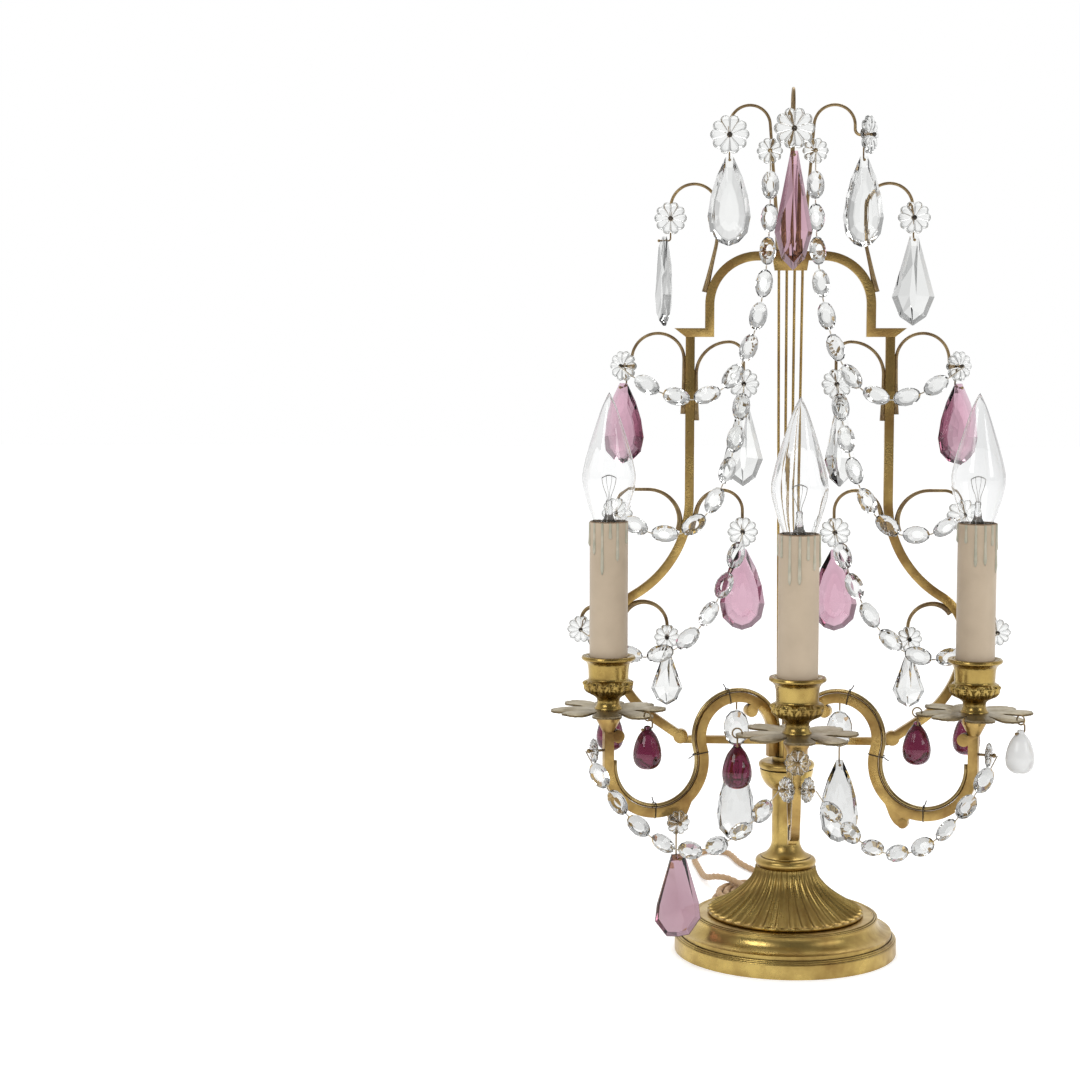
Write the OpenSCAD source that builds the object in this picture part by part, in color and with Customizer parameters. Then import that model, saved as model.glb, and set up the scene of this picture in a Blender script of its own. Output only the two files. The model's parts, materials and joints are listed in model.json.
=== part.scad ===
// Three-light lyre girandole: a brass table lamp hung with cut crystal drops, rosettes and garlands.
// Millimetres. The origin is the middle of the underside, +Z is up and the front arm points along -Y.

/* [Foot and dome] */
// Radius of the round foot
foot_r = 69.6; // [66:0.2:76]
// Height of the plain band round the foot
foot_band_h = 8.5; // [7:0.5:10]
// Height of the whole foot
foot_h = 23.5; // [22:0.5:27]
// Radius of the hollow under the foot's top plate
foot_hollow_r = 54; // [50:0.5:54.5]
// Thickness of the foot's top plate
foot_plate_t = 3.5; // [2.5:0.5:5]
// Radius of the cove moulding
cove_r = 9; // [7:0.5:10]
// Radius of the cove's neck
cove_neck_r = 57.5; // [57:0.5:60]
// Radius of the fluted dome at its scalloped lip
dome_r = 49; // [46:0.5:52]
// Height at which the dome meets the column
dome_top_z = 54; // [51:0.5:60]
// Radius of the dome at its top
dome_neck_r = 19; // [18:0.5:22]
// Number of flutes round the dome
flute_n = 40; // [28:2:48]
// Depth of a flute at the lip
flute_depth = 2.2; // [0.8:0.1:2.6]

/* [Column and hub] */
// Radius of the column's shaft
column_r = 8.9; // [8:0.1:10]
// Height at which the column meets the hub
column_top_z = 101; // [96:0.5:106]
// Height of the column's collar
collar_h = 6; // [4:0.5:8]
// Depth of the hub's bowl
bowl_h = 15; // [12:0.5:16]
// Radius of the hub's ring
hub_ring_r = 17.5; // [16:0.5:20]
// Height of the hub's ring
hub_ring_h = 5; // [4:0.5:6]
// Radius of the stem that the arms stand against
stem_r = 6.9; // [6:0.1:7.4]
// Radius of the threaded tube that ties the lamp together
rod_r = 5; // [4:0.1:5.5]

/* [Arms] */
// Distance from the lamp's axis to a candle's axis
arm_reach = 118; // [112:1:126]
// Angle between the front arm and a side arm
arm_fan = 70; // [60:1:75]
// Width of the scrolled bar, seen from the side
arm_w = 6; // [5:0.2:7]
// Thickness of the scrolled bar
arm_t = 5; // [4:0.2:6]
// Radius of the arm's upper scroll
arm_arch_r = 24; // [22:0.5:25]
// Lean of an arm between its two scrolls, in degrees
arm_turn = 15.5; // [12:0.5:18]
// Height of the middle of the upper scroll
arm_arch_z = 139; // [136:0.5:142]
// Height of the top of an arm, under its drip pan
arm_top_z = 158.9; // [156:0.1:164]
// Radius of the wiring tube beside an arm
conduit_r = 1.25; // [1:0.05:1.6]

/* [Candles] */
// Radius of a drip pan over its petals
pan_r = 35.5; // [33:0.5:38]
// Thickness of a drip pan
pan_t = 1; // [0.8:0.1:1.5]
// Height of a candle cup
cup_h = 32.4; // [30:0.2:36]
// Radius of a cup's rim
cup_rim_r = 16.2; // [15:0.1:18]
// Radius of a candle sleeve
sleeve_r = 11.7; // [11.4:0.1:11.9]
// Wall of a candle sleeve
sleeve_wall = 1.2; // [0.8:0.1:1.4]
// Height of a candle sleeve
sleeve_h = 85.5; // [70:0.5:100]
// Radius of a bulb at its widest
bulb_r = 16.2; // [14:0.1:17.5]
// Height of a bulb's glass
bulb_h = 83; // [76:0.5:95]
// Radius of a bulb's screw cap
cap_r = 6.85; // [6.7:0.05:6.9]

/* [Lyre] */
// How far the lyre stands behind the lamp's axis
lyre_y = 12; // [11:0.2:14]
// Width of the lyre's bar, seen from the front
bar_w = 5.7; // [4.6:0.1:6.4]
// Thickness of the lyre's bar
bar_t = 4.5; // [3.6:0.1:5]
// Height of the top of the arch
arch_top_z = 439; // [432:1:448]
// Half the width of the arch, to the middle of its bar
arch_half = 50; // [48:0.5:52]
// Radius of the arch's haunches
arch_r = 30; // [26:0.5:34]
// Height of the shoulders' upper side
shoulder_z = 391.5; // [388:0.5:395]
// Thickness of a shoulder
shoulder_t = 5.5; // [4:0.5:6]
// Reach of a shoulder's tip from the middle
shoulder_tip = 72; // [71:0.5:73]
// Distance of a side bar from the middle
side_x = 62; // [60:0.5:63.5]
// Height at which a side bar starts to flare
flare_z = 284; // [278:1:290]
// Radius of a side bar's flare
flare_r = 70; // [66:1:74]
// Angle of a side bar's flare
flare_a = 59; // [56:1:60]
// Radius of a side bar's upper bulge
bulge_r = 30; // [28:0.5:33]
// Radius of a side bar's lower belly
belly_r = 62; // [59:0.5:63]
// Angle of a side bar's lower belly
belly_a = 56; // [54:0.5:58]
// Straight run at a side bar's lower end
tail_run = 20; // [18:0.5:21]
// Radius of the eye at a side bar's lower end
eye_r = 4.6; // [4:0.1:5]
// Height of the bottom bar
bottom_bar_h = 4.6; // [4:0.1:5.5]
// Radius of a lyre string
string_r = 0.85; // [0.6:0.05:1]
// Distance between strings at the top
string_gap_top = 4.9; // [4.4:0.1:5.4]
// Distance between strings at the bottom
string_gap_low = 3.4; // [3:0.1:4]

/* [Crystals] */
// Radius of a hook's wire
wire_r = 0.8; // [0.6:0.05:0.9]
// Radius of a drop's link wire
link_r = 0.5; // [0.4:0.02:0.52]
// Thickness of a rosette
rosette_t = 4; // [3:0.1:4.4]
// Thickness of a cut drop
drop_t = 10.5; // [8:0.5:11]
// Thickness of a drop's edge
girdle_t = 2.4; // [1.6:0.1:3]
// Length of a garland bead
bead_l = 17.6; // [14:0.2:18.4]
// Width of a garland bead
bead_w = 11; // [8:0.2:12]
// Thickness of a garland bead
bead_t = 6; // [4:0.2:6.4]
// Distance from bead to bead along a garland
bead_pitch = 20.2; // [19.6:0.1:22]
// Radius of a garland's wire
garland_wire_r = 0.4; // [0.3:0.02:0.6]

/* [Cord] */
// Diameter of the silk-covered cord
cord_d = 4.5; // [4:0.1:4.5]
// Turns in each layer of the cord's coil
coil_turns = 4; // [3:1:4]

/* [Hidden] */
$fn = 48;

// Fits shared by neighbouring pieces
seat = 0.15;
rod_gap = 0.1;
pin_gap = 0.08;
wire_gap = 0.1;
sleeve_gap = 0.2;

brass = "darkgoldenrod";
old_brass = "peru";
crystal = "aliceblue";
amethyst = "mediumorchid";
ivory = "antiquewhite";

// Heights that follow from the sizes above
hub_ring_z = column_top_z + bowl_h;
stem_z = hub_ring_z + hub_ring_h;
stem_top_z = arm_arch_z + 2;
cup_z = arm_top_z + pan_t + 0.1;
ledge_z = cup_z + cup_h - 3.5;
sleeve_top_z = ledge_z + sleeve_h;
nipple_r = 4;
holder_r = sleeve_r - sleeve_wall - 0.6;
holder_top_z = sleeve_top_z - 6.5;

// An arm's path, in its own plane: out from the stem, over the upper scroll and round the bowl
arm_root = stem_r + 0.1 + arm_w / 2;
arm_bowl_r = (arm_reach - arm_root) / (1 + cos(arm_turn)) - arm_arch_r;
arm_foot_z = stem_z + 3.5;
bowl_z = arm_arch_z - (arm_arch_r + arm_bowl_r) * sin(arm_turn);
bowl_rho = arm_reach - arm_bowl_r;
arm_cap_h = 13.5;
arm_azimuths = [-90 - arm_fan, -90, -90 + arm_fan];

// The lyre's side bar, walked from the shoulder down to its eye
side_top_z = shoulder_z - shoulder_t;
belly_flat = 2;
side_path = [
  ["line", side_top_z - flare_z], ["arc", flare_r, flare_a], ["arc", bulge_r, -flare_a],
  ["line", belly_flat], ["arc", belly_r, -belly_a], ["line", tail_run]
];
arch_mid_z = arch_top_z - bar_w / 2;
haunch_z = arch_mid_z - arch_r;
haunch_x = arch_half - arch_r;
wire_off = bar_w / 2 + wire_r + seat;
eye = walk(side_path, [side_x, side_top_z, -90]);
bulge_start = walk([side_path[0], side_path[1]], [side_x, side_top_z, -90]);
bulge_c = [
  bulge_start[0] + bulge_r * sin(flare_a - 90),
  bulge_start[1] - bulge_r * cos(flare_a - 90)
];

// End of a path of lines and arcs, as x, z and heading
function walk(path, at, i = 0) = i == len(path) ? at : walk(path, step_along(path[i], at), i + 1);
function step_along(seg, at) =
  seg[0] == "line"
    ? [at[0] + seg[1] * cos(at[2]), at[1] + seg[1] * sin(at[2]), at[2]]
    : let (s = sign(seg[2]), h = at[2] + seg[2])
      [at[0] + s * seg[1] * (sin(h) - sin(at[2])), at[1] + s * seg[1] * (cos(at[2]) - cos(h)), h];

// Places a child drawn in the XY plane upright in a plane that faces the front
module upright(x, z, heading, y = 0) {
  translate([x, y, z]) rotate([90, 0, 0]) rotate([0, 0, heading]) children();
}

// Points and headings along a path of lines and arcs, closer together round its arcs
bar_bend = 3;
function trace(path, at, i = 0) =
  i == len(path) ? [at]
  : let (seg = path[i], m = seg[0] == "line" ? 1 : ceil(abs(seg[2]) / bar_bend))
    concat(
      [for (k = [0 : m - 1]) k == 0 ? at : step_along(["arc", seg[1], seg[2] * k / m], at)],
      trace(path, step_along(seg, at), i + 1));

// A flat bar bent along a path, starting at the origin along +X
module bar_run(path, w, t) {
  run = trace(path, [0, 0, 0]);
  n = len(run);
  function edge(p, side) = [p[0] - side * w / 2 * sin(p[2]), p[1] + side * w / 2 * cos(p[2])];
  translate([0, 0, -t / 2]) linear_extrude(t)
    polygon(concat([for (p = run) edge(p, -1)], [for (k = [n - 1 : -1 : 0]) edge(run[k], 1)]));
}

// A round wire bent along a path, where a roll turns the plane of the bends after it
module wire_run(path, r, i = 0) {
  if (i < len(path)) {
    seg = path[i];
    if (seg[0] == "line") {
      rotate([0, 90, 0]) cylinder(h = seg[1], r = r);
      translate([seg[1], 0, 0]) wire_run(path, r, i + 1);
    } else if (seg[0] == "roll") {
      rotate([seg[1], 0, 0]) wire_run(path, r, i + 1);
    } else {
      turn_sector(seg[1], seg[2]) translate([seg[1], 0]) circle(r = r);
      turn_end(seg[1], seg[2]) wire_run(path, r, i + 1);
    }
  }
}

// Sweeps a profile through a turn: a positive angle turns left, a negative one right
module turn_sector(radius, angle) {
  translate([0, sign(angle) * radius, 0])
    rotate([0, 0, angle > 0 ? -90 : 90 + angle])
      rotate_extrude(angle = abs(angle)) children();
}

module turn_end(radius, angle) {
  side = sign(angle) * radius;
  translate([0, side, 0]) rotate([0, 0, angle]) translate([0, -side, 0]) children();
}

// A straight round wire between two points
module rod_between(a, b, r) {
  d = b - a;
  translate(a) rotate([0, acos(d[2] / norm(d)), atan2(d[1], d[0])]) cylinder(h = norm(d), r = r);
}

// A smooth curve through the points of a profile or a route
function curve_point(p0, p1, p2, p3, t) =
  0.5 * (2 * p1 + (p2 - p0) * t + (2 * p0 - 5 * p1 + 4 * p2 - p3) * t * t
    + (3 * p1 - p0 - 3 * p2 + p3) * t * t * t);
function smooth(p, m) = concat(
  [for (i = [0 : len(p) - 2], k = [0 : m - 1])
    curve_point(p[max(i - 1, 0)], p[i], p[i + 1], p[min(i + 2, len(p) - 1)], k / m)],
  [p[len(p) - 1]]);

module revolve(points, m = 4) {
  curve = smooth(points, m);
  axis = [[0, points[len(points) - 1][1]], [0, points[0][1]]];
  rotate_extrude() polygon(concat(curve, axis));
}

// Triangles between rings of n points each, with a flat fan on the first and the last ring
function ring_faces(rings, n) = concat(
  [for (i = [0 : rings - 2], k = [0 : n - 1]) [i * n + k, (i + 1) * n + (k + 1) % n, i * n + (k + 1) % n]],
  [for (i = [0 : rings - 2], k = [0 : n - 1]) [i * n + k, (i + 1) * n + k, (i + 1) * n + (k + 1) % n]],
  [for (k = [1 : n - 2]) [0, k, k + 1]],
  [for (k = [1 : n - 2]) [(rings - 1) * n, (rings - 1) * n + k + 1, (rings - 1) * n + k]]);

// Foot: a turned dish with a plain band, three reeds and a cove
reed_r = 0.75;
reed_step = 0.9;
reed_rise = 0.9;
cove_foot_r = cove_neck_r + cove_r;
lip_drop = 1;
bush_x = -18;
bush_z = 14;
bush_r = 4.2;
bush_y = [52, 71];

module foot_profile() {
  square([foot_r, foot_band_h]);
  for (i = [0 : 2])
    translate([foot_r - reed_r - i * reed_step, foot_band_h + i * reed_rise]) circle(r = reed_r);
  square([cove_foot_r, foot_h - lip_drop - cove_r]);
  difference() {
    square([cove_foot_r, foot_h - lip_drop]);
    translate([cove_foot_r, foot_h - lip_drop]) circle(r = cove_r);
  }
  square([cove_neck_r - 2, foot_h]);
}

module foot() {
  color(brass) difference() {
    rotate_extrude() foot_profile();
    translate([0, 0, -1]) cylinder(h = foot_h - foot_plate_t + 1, r = foot_hollow_r);
    translate([0, 0, -1]) cylinder(h = foot_h + 2, r = rod_r + rod_gap);
    translate([bush_x, bush_y[0] - 8, bush_z]) rotate([-90, 0, 0])
      cylinder(h = 30, r = bush_r + wire_gap);
  }
}

// Dome: a trumpet whose flutes run out to a scalloped lip
lip_h = 2.5;
dome_bend = 1.85;
flute_pts = 4;
dome_steps = 8;
lip_u = 0.03;
dome_hole_z = dome_top_z - 5;

function dome_ring(u, depth) =
  let (r = dome_neck_r + (dome_r - dome_neck_r) * pow(1 - u, dome_bend),
       z = foot_h + lip_h + (dome_top_z - foot_h - lip_h) * u,
       n = flute_n * flute_pts)
  [for (k = [0 : n - 1])
    let (a = 360 * k / n, q = r - depth * r / dome_r * (1 - cos(a * flute_n)) / 2)
    [q * cos(a), q * sin(a), z]];

module fluted_dome() {
  n = flute_n * flute_pts;
  rings = concat(
    [[for (p = dome_ring(0, flute_depth * 0.4)) [p[0] * 0.98, p[1] * 0.98, foot_h]]],
    [dome_ring(0, flute_depth * 0.4)],
    [for (i = [0 : dome_steps]) dome_ring(lip_u + (1 - lip_u) * i / dome_steps, flute_depth)]);
  color(brass) difference() {
    polyhedron(points = [for (r = rings) each r], faces = ring_faces(len(rings), n));
    translate([0, 0, foot_h - 1])
      cylinder(h = dome_hole_z - foot_h + 1, r1 = dome_r * 0.72, r2 = dome_neck_r - 6);
    translate([0, 0, foot_h - 1]) cylinder(h = dome_top_z, r = rod_r + rod_gap);
  }
}

// Column: a collar, a flared foot and a plain shaft
module column() {
  edge = collar_h / 2;
  flare = dome_neck_r - column_r;
  color(brass) difference() {
    translate([0, 0, dome_top_z]) rotate_extrude() {
      square([dome_neck_r - edge, collar_h]);
      translate([dome_neck_r - edge, edge]) circle(r = edge);
      difference() {
        translate([0, collar_h]) square([dome_neck_r - edge - 0.5, flare]);
        translate([column_r + flare, collar_h + flare]) circle(r = flare);
      }
      square([column_r, column_top_z - dome_top_z]);
    }
    translate([0, 0, dome_top_z - 1]) cylinder(h = column_top_z, r = rod_r + rod_gap);
  }
}

// Hub: a bowl, a ring and the stem that carries the three arms
module hub() {
  edge = hub_ring_h / 2;
  color(brass) difference() {
    rotate_extrude() {
      intersection() {
        translate([hub_ring_r - 0.8 - bowl_h, hub_ring_z]) circle(r = bowl_h);
        translate([0, column_top_z]) square([hub_ring_r, bowl_h]);
      }
      translate([0, column_top_z]) square([column_r, bowl_h]);
      translate([0, hub_ring_z]) square([hub_ring_r - edge, hub_ring_h]);
      translate([hub_ring_r - edge, hub_ring_z + edge]) circle(r = edge);
      translate([0, stem_z]) square([stem_r, stem_top_z - stem_z]);
      translate([0, stem_z]) square([stem_r + 2.2, arm_foot_z - stem_z - 0.4]);
    }
    translate([0, 0, column_top_z - 1]) cylinder(h = stem_z - column_top_z, r = rod_r + rod_gap);
  }
}

// Threaded tube from the nut inside the foot up into the hub, hollow for the flex
rod_bore_r = 3.4;
nut_h = 7.8;
washer_t = 2.2;
module tie_rod() {
  z = foot_h - foot_plate_t - washer_t - nut_h - 1.5;
  color(old_brass) translate([0, 0, z]) difference() {
    cylinder(h = stem_z - 1.5 - z, r = rod_r);
    translate([0, 0, -1]) cylinder(h = stem_z, r = rod_bore_r);
  }
}

module rod_nut() {
  z = foot_h - foot_plate_t;
  color(old_brass) difference() {
    union() {
      translate([0, 0, z - washer_t]) cylinder(h = washer_t, r = 14);
      translate([0, 0, z - washer_t - nut_h]) cylinder(h = nut_h, r = 10, $fn = 6);
    }
    translate([0, 0, z - 20]) cylinder(h = 21, r = rod_r + rod_gap);
  }
}

// Bush that leads the cord through the cove
module cord_bush() {
  color(old_brass) translate([bush_x, bush_y[0], bush_z]) rotate([-90, 0, 0]) difference() {
    union() {
      cylinder(h = bush_y[1] - bush_y[0], r = bush_r);
      translate([0, 0, bush_y[1] - bush_y[0] - 3]) cylinder(h = 3, r = bush_r + 1.3);
    }
    translate([0, 0, -1]) cylinder(h = 40, r = cord_d / 2 + pin_gap);
  }
}

// Lyre: an arch on two shoulders, two scrolled side bars and a bottom bar
block_z = arch_top_z - bar_w - 6.2;
string_x = [-1.5, -0.5, 0.5, 1.5];
bottom_bar_z = eye[1] - 2;
shoe_h = 7;
module lyre_arch() {
  leg = haunch_z - shoulder_z;
  color(brass) {
    difference() {
      union() {
        for (m = [0, 1]) mirror([m, 0, 0]) {
          upright(0, arch_mid_z, 0, lyre_y)
            bar_run([["line", haunch_x], ["arc", arch_r, -90], ["line", leg]], bar_w, bar_t);
          upright(0, 0, 0, lyre_y) translate([0, 0, -bar_t / 2]) linear_extrude(bar_t) polygon([
            [arch_half - bar_w / 2, side_top_z], [side_x + bar_w / 2, side_top_z],
            [shoulder_tip, shoulder_z], [arch_half - bar_w / 2, shoulder_z]]);
        }
        upright(0, 0, 0, lyre_y) translate([0, 0, -bar_t / 2]) linear_extrude(bar_t)
          polygon([[-11.5, arch_mid_z], [11.5, arch_mid_z], [10, block_z], [-10, block_z]]);
      }
      for (s = string_x) string_at(s, string_r + wire_gap);
    }
  }
}

module lyre_side() {
  color(brass) {
    upright(side_x, side_top_z, -90, lyre_y) bar_run(side_path, bar_w, bar_t);
    translate([eye[0], lyre_y, eye[1]]) rotate([90, 0, 0]) cylinder(h = bar_t, r = eye_r, center = true);
  }
}

module lyre_right_side() { lyre_side(); }
module lyre_left_side() { mirror([1, 0, 0]) lyre_side(); }

module lyre_bottom_bar() {
  color(brass) difference() {
    union() {
      translate([-eye[0], lyre_y - bar_t / 2, bottom_bar_z - bottom_bar_h / 2])
        cube([2 * eye[0], bar_t, bottom_bar_h]);
      translate([-5, stem_r + 0.1, bottom_bar_z - bottom_bar_h / 2])
        cube([10, lyre_y - stem_r, bottom_bar_h]);
      translate([-8, lyre_y - bar_t / 2, bottom_bar_z]) cube([16, bar_t, shoe_h]);
    }
    for (s = string_x) string_at(s, string_r + wire_gap);
    for (side = [-1, 1]) translate([side * eye[0], lyre_y, eye[1]]) rotate([90, 0, 0])
      cylinder(h = bar_t * 2, r = eye_r + seat, center = true);
  }
}

module string_at(s, r) {
  rod_between([s * string_gap_low, lyre_y, bottom_bar_z + bottom_bar_h / 2],
    [s * string_gap_top, lyre_y, arch_top_z - bar_w - 2], r);
}

module lyre_strings() {
  color(brass) for (s = string_x)
    rod_between([s * string_gap_low, lyre_y, bottom_bar_z + bottom_bar_h / 2 + 0.3],
      [s * string_gap_top, lyre_y, arch_top_z - bar_w - 2.3], string_r);
}

// Hooks, as root x, root z, heading and path, on the right-hand side of the lyre
tip_bend = 4;
flare_c = [side_x + flare_r, flare_z];
hook_top = [7.5, arch_top_z + seat, 85.6, [["line", 78], ["arc", 12.6, -175.6], ["line", 2]]];
hook_shoulder = [
  haunch_x + (arch_r + wire_off) * cos(13), haunch_z + (arch_r + wire_off) * sin(13), 103,
  [["line", 28], ["arc", 40, -13], ["line", 16], ["arc", 14.5, -180], ["line", 3]]];
hook_upper_outer = [side_x + wire_off, flare_z + 54, 90, [["line", 34], ["arc", 16.3, -180]]];
hook_upper_inner = [
  side_x - wire_off, flare_z + 50, 90,
  [["line", 28.5], ["arc", 20.5, 90], ["arc", 9, 90], ["line", 13]]];
hook_lower_outer = [
  flare_c[0] - (flare_r - wire_off) * cos(17), flare_c[1] - (flare_r - wire_off) * sin(17), 107,
  [["arc", 20, -107], ["line", 9], ["arc", 10.5, -90]]];
hook_lower_inner = [
  flare_c[0] - (flare_r + wire_off) * cos(15), flare_c[1] - (flare_r + wire_off) * sin(15), 105,
  [["line", 14], ["arc", 16, 75], ["arc", 13, 90], ["line", 8.5]]];
hook_belly_inner = [
  bulge_c[0] + (bulge_r - wire_off) * cos(35), bulge_c[1] + (bulge_r - wire_off) * sin(35), 125,
  [["arc", 14, 55], ["arc", 15, 90], ["line", 2]]];
hook_belly_outer = [
  bulge_c[0] + (bulge_r + wire_off) * cos(5), bulge_c[1] + (bulge_r + wire_off) * sin(5), 95,
  [["line", 6], ["arc", 8, -185], ["line", 1]]];

// Each pendant: side, hook, turn of its rosette, stalk behind it, rosette radius,
// twist of its drop, shape, length, width and node
pendants = [
  [-1, hook_top, 0, 6, 12, 0, "pear", 55, 26.5, "drop_top_left"],
  [1, hook_top, 60, 5.5, 12, -60, "pear", 56, 25, "drop_top_right"],
  [-1, hook_shoulder, 0, 6, 10, 75, "kite", 55, 26, "drop_shoulder_left"],
  [1, hook_shoulder, 0, 6, 10, 0, "kite", 55, 26, "drop_shoulder_right"],
  [-1, hook_upper_outer, 30, 6, 9.5, 0, "pear", 50, 29, "drop_upper_outer_left"],
  [1, hook_upper_outer, 30, 6, 9.5, 0, "pear", 50, 29, "drop_upper_outer_right"],
  [-1, hook_upper_inner, 0, 6, 9.5, 0, "kite", 53, 24.5, "drop_upper_inner_left"],
  [1, hook_upper_inner, 0, 6, 9.5, 40, "kite", 53, 24.5, "drop_upper_inner_right"],
  [-1, hook_lower_outer, 0, 6, 10, 65, "kite", 53, 24, "drop_lower_outer_left"],
  [1, hook_lower_outer, 0, 6, 10, 65, "kite", 53, 24, "drop_lower_outer_right"],
  [-1, hook_lower_inner, 0, 6, 9.5, 0, "pear", 51, 28, "drop_lower_inner_left"],
  [1, hook_lower_inner, 0, 6, 9.5, 0, "pear", 51, 28, "drop_lower_inner_right"],
  [-1, hook_belly_inner, 0, 6, 8, 0, "kite", 34, 20, "drop_belly_left"],
  [1, hook_belly_inner, 0, 6, 8, 0, "kite", 34, 20, "drop_belly_right"],
  [-1, hook_belly_outer, 0, 6, 8.5, 0, "none"],
  [1, hook_belly_outer, 0, 6, 8.5, 0, "none"]
];
top_pendant = [1, [], 0, 4, 12.5, 0, "kite", 72, 23, "drop_top_middle"];
top_riser = 88.4;
top_arc = 10;
top_fall = 11.5;
link_y = rosette_t / 2 + 1.6;
hole_drop = 3.7;
hole_edge = 2.6;
ball_r = 1.4;

// Middle of a pendant's rosette, drawn on the right-hand side
function rosette_at(p) =
  len(p[1]) == 0
    ? [0, lyre_y - 2 * top_arc - tip_bend - p[3], arch_top_z + seat + top_riser - top_fall - tip_bend]
    : let (h = p[1], e = walk(h[3], [h[0], h[1], h[2]]), d = tip_bend + p[3])
      [e[0] + tip_bend * cos(e[2]) + d * sin(p[2]), lyre_y - d * cos(p[2]), e[1] + tip_bend * sin(e[2])];
// Middle of a pendant's hinge hole, on its own side
function hole_at(p) =
  let (c = rosette_at(p), a = p[2], b = p[2] + p[5])
  [p[0] * (c[0] + link_y * (sin(b) - sin(a))), c[1] + link_y * (cos(a) - cos(b)), c[2] - p[4] - hole_drop];
function hinge_axis(p) = [p[0] * sin(p[2] + p[5]), -cos(p[2] + p[5]), 0];

module at_rosette(p) {
  mirror([p[0] < 0 ? 1 : 0, 0, 0]) translate(rosette_at(p)) rotate([0, 0, p[2]]) children();
}

module at_link(p) {
  at_rosette(p) translate([0, link_y, 0]) rotate([0, 0, p[5]]) children();
}

// Rings of a round wire along a path, each as a point, a heading and a side vector that doesn't roll
wire_sides = 6;
wire_bend = 20;
tube_bend = 10;
function spin(v, n, a) = v * cos(a) + cross(n, v) * sin(a) + n * (n * v) * (1 - cos(a));
function wire_rings(path, bend, p, t, l, a, i = 0) =
  i == len(path) ? []
  : let (seg = path[i])
    seg[0] == "line"
      ? let (q = p + t * seg[1]) concat([[q, t, a]], wire_rings(path, bend, q, t, l, a, i + 1))
    : seg[0] == "roll" ? wire_rings(path, bend, p, t, spin(l, t, seg[1]), a, i + 1)
    : let (n = cross(t, l), c = p + l * sign(seg[2]) * seg[1], m = ceil(abs(seg[2]) / bend), e = seg[2])
      concat(
        [for (k = [1 : m]) let (b = e * k / m) [c + spin(p - c, n, b), spin(t, n, b), spin(a, n, b)]],
        wire_rings(path, bend, c + spin(p - c, n, e), spin(t, n, e), spin(l, n, e), spin(a, n, e), i + 1));

// A round wire along a path that starts at the origin along x, with a ball round its far end if asked
module swept_wire(path, r, bend = wire_bend, ball = 0) {
  sides = wire_sides;
  x = [1, 0, 0];
  y = [0, 1, 0];
  run = concat([[[0, 0, 0], x, y]], wire_rings(path, bend, [0, 0, 0], x, y, y));
  last = len(run) - 1;
  end = run[last];
  steps = [[-1.2, r / max(ball, 0.1)], [-0.5, 0.87], [0, 1], [0.5, 0.87], [0.87, 0.5]];
  rings = concat(
    [for (k = [0 : ball > 0 ? last - 1 : last]) [run[k][0], run[k][1], run[k][2], r]],
    ball > 0 ? [for (f = steps) [end[0] + end[1] * f[0] * ball, end[1], end[2], f[1] * ball]] : []);
  polyhedron(
    points = [for (q = rings, k = [0 : sides - 1])
      q[0] + q[3] * (cos(360 * k / sides) * q[2] + sin(360 * k / sides) * cross(q[1], q[2]))],
    faces = ring_faces(len(rings), sides));
}

module lyre_hooks() {
  stub = rosette_t / 2 + ball_r + wire_gap;
  color(old_brass) {
    for (p = pendants) {
      h = p[1];
      end = [["roll", 90 - p[2]], ["arc", tip_bend, 90], ["line", p[3] + stub]];
      mirror([p[0] < 0 ? 1 : 0, 0, 0]) upright(h[0], h[1], h[2], lyre_y)
        swept_wire(concat(h[3], end), wire_r, ball = ball_r);
    }
    upright(0, arch_top_z + seat, 90, lyre_y) swept_wire([
      ["line", top_riser], ["roll", 90], ["arc", top_arc, 180], ["line", top_fall],
      ["arc", tip_bend, -90], ["line", top_pendant[3] + stub]], wire_r, ball = ball_r);
  }
}

// Rosette: a round of scalloped petals with a hole for its pin
petals = 10;
module rosette(r) {
  lobe = r * 0.24;
  rotate([90, 0, 0]) translate([0, 0, -rosette_t / 2]) linear_extrude(rosette_t) difference() {
    union() {
      circle(r = r - lobe);
      for (k = [0 : petals - 1]) rotate(360 * k / petals) translate([r - lobe, 0]) circle(r = lobe);
    }
    circle(r = wire_r + wire_gap);
  }
}

// Drilled knob under each arm's bowl
knob_turn = 252;
knob_r = 3.2;
knob_at = [bowl_rho + (arm_bowl_r + 7.4) * cos(knob_turn), bowl_z + (arm_bowl_r + 7.4) * sin(knob_turn)];

// Rosettes on the arms: arm number, distance out, height, turn from the arm, length of pin and radius
small_rosette = 7.6;
arm_face = arm_reach + arm_w / 2;
arm_rosettes = [
  [0, arm_face, arm_top_z - 24.9, 0, 6, small_rosette],
  [2, arm_face, arm_top_z - 24.9, 0, 6, small_rosette],
  [1, arm_face, arm_top_z - 14.9, 0, 6, small_rosette],
  [1, arm_face, arm_top_z - 30.9, 58, 7, small_rosette],
  [1, arm_face, arm_top_z - 30.9, -58, 7, small_rosette],
  [0, knob_at[0], knob_at[1], 90, knob_r + 5, small_rosette]
];

module at_arm_rosette(q) {
  rotate([0, 0, arm_azimuths[q[0]]]) translate([q[1], 0, q[2]]) rotate([0, 0, 90 + q[3]])
    translate([0, -q[4], 0]) children();
}

// Small rosettes beside the top hooks, where the long garlands start
start_z = arch_top_z + 61;
start_x = hook_top[0] + (start_z - hook_top[1]) / tan(hook_top[2]) + 2 * wire_r + seat;
start_stalk = 8;
start_r = 8;
module at_start(side) {
  mirror([side < 0 ? 1 : 0, 0, 0]) translate([start_x, lyre_y - start_stalk, start_z]) children();
}

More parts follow.
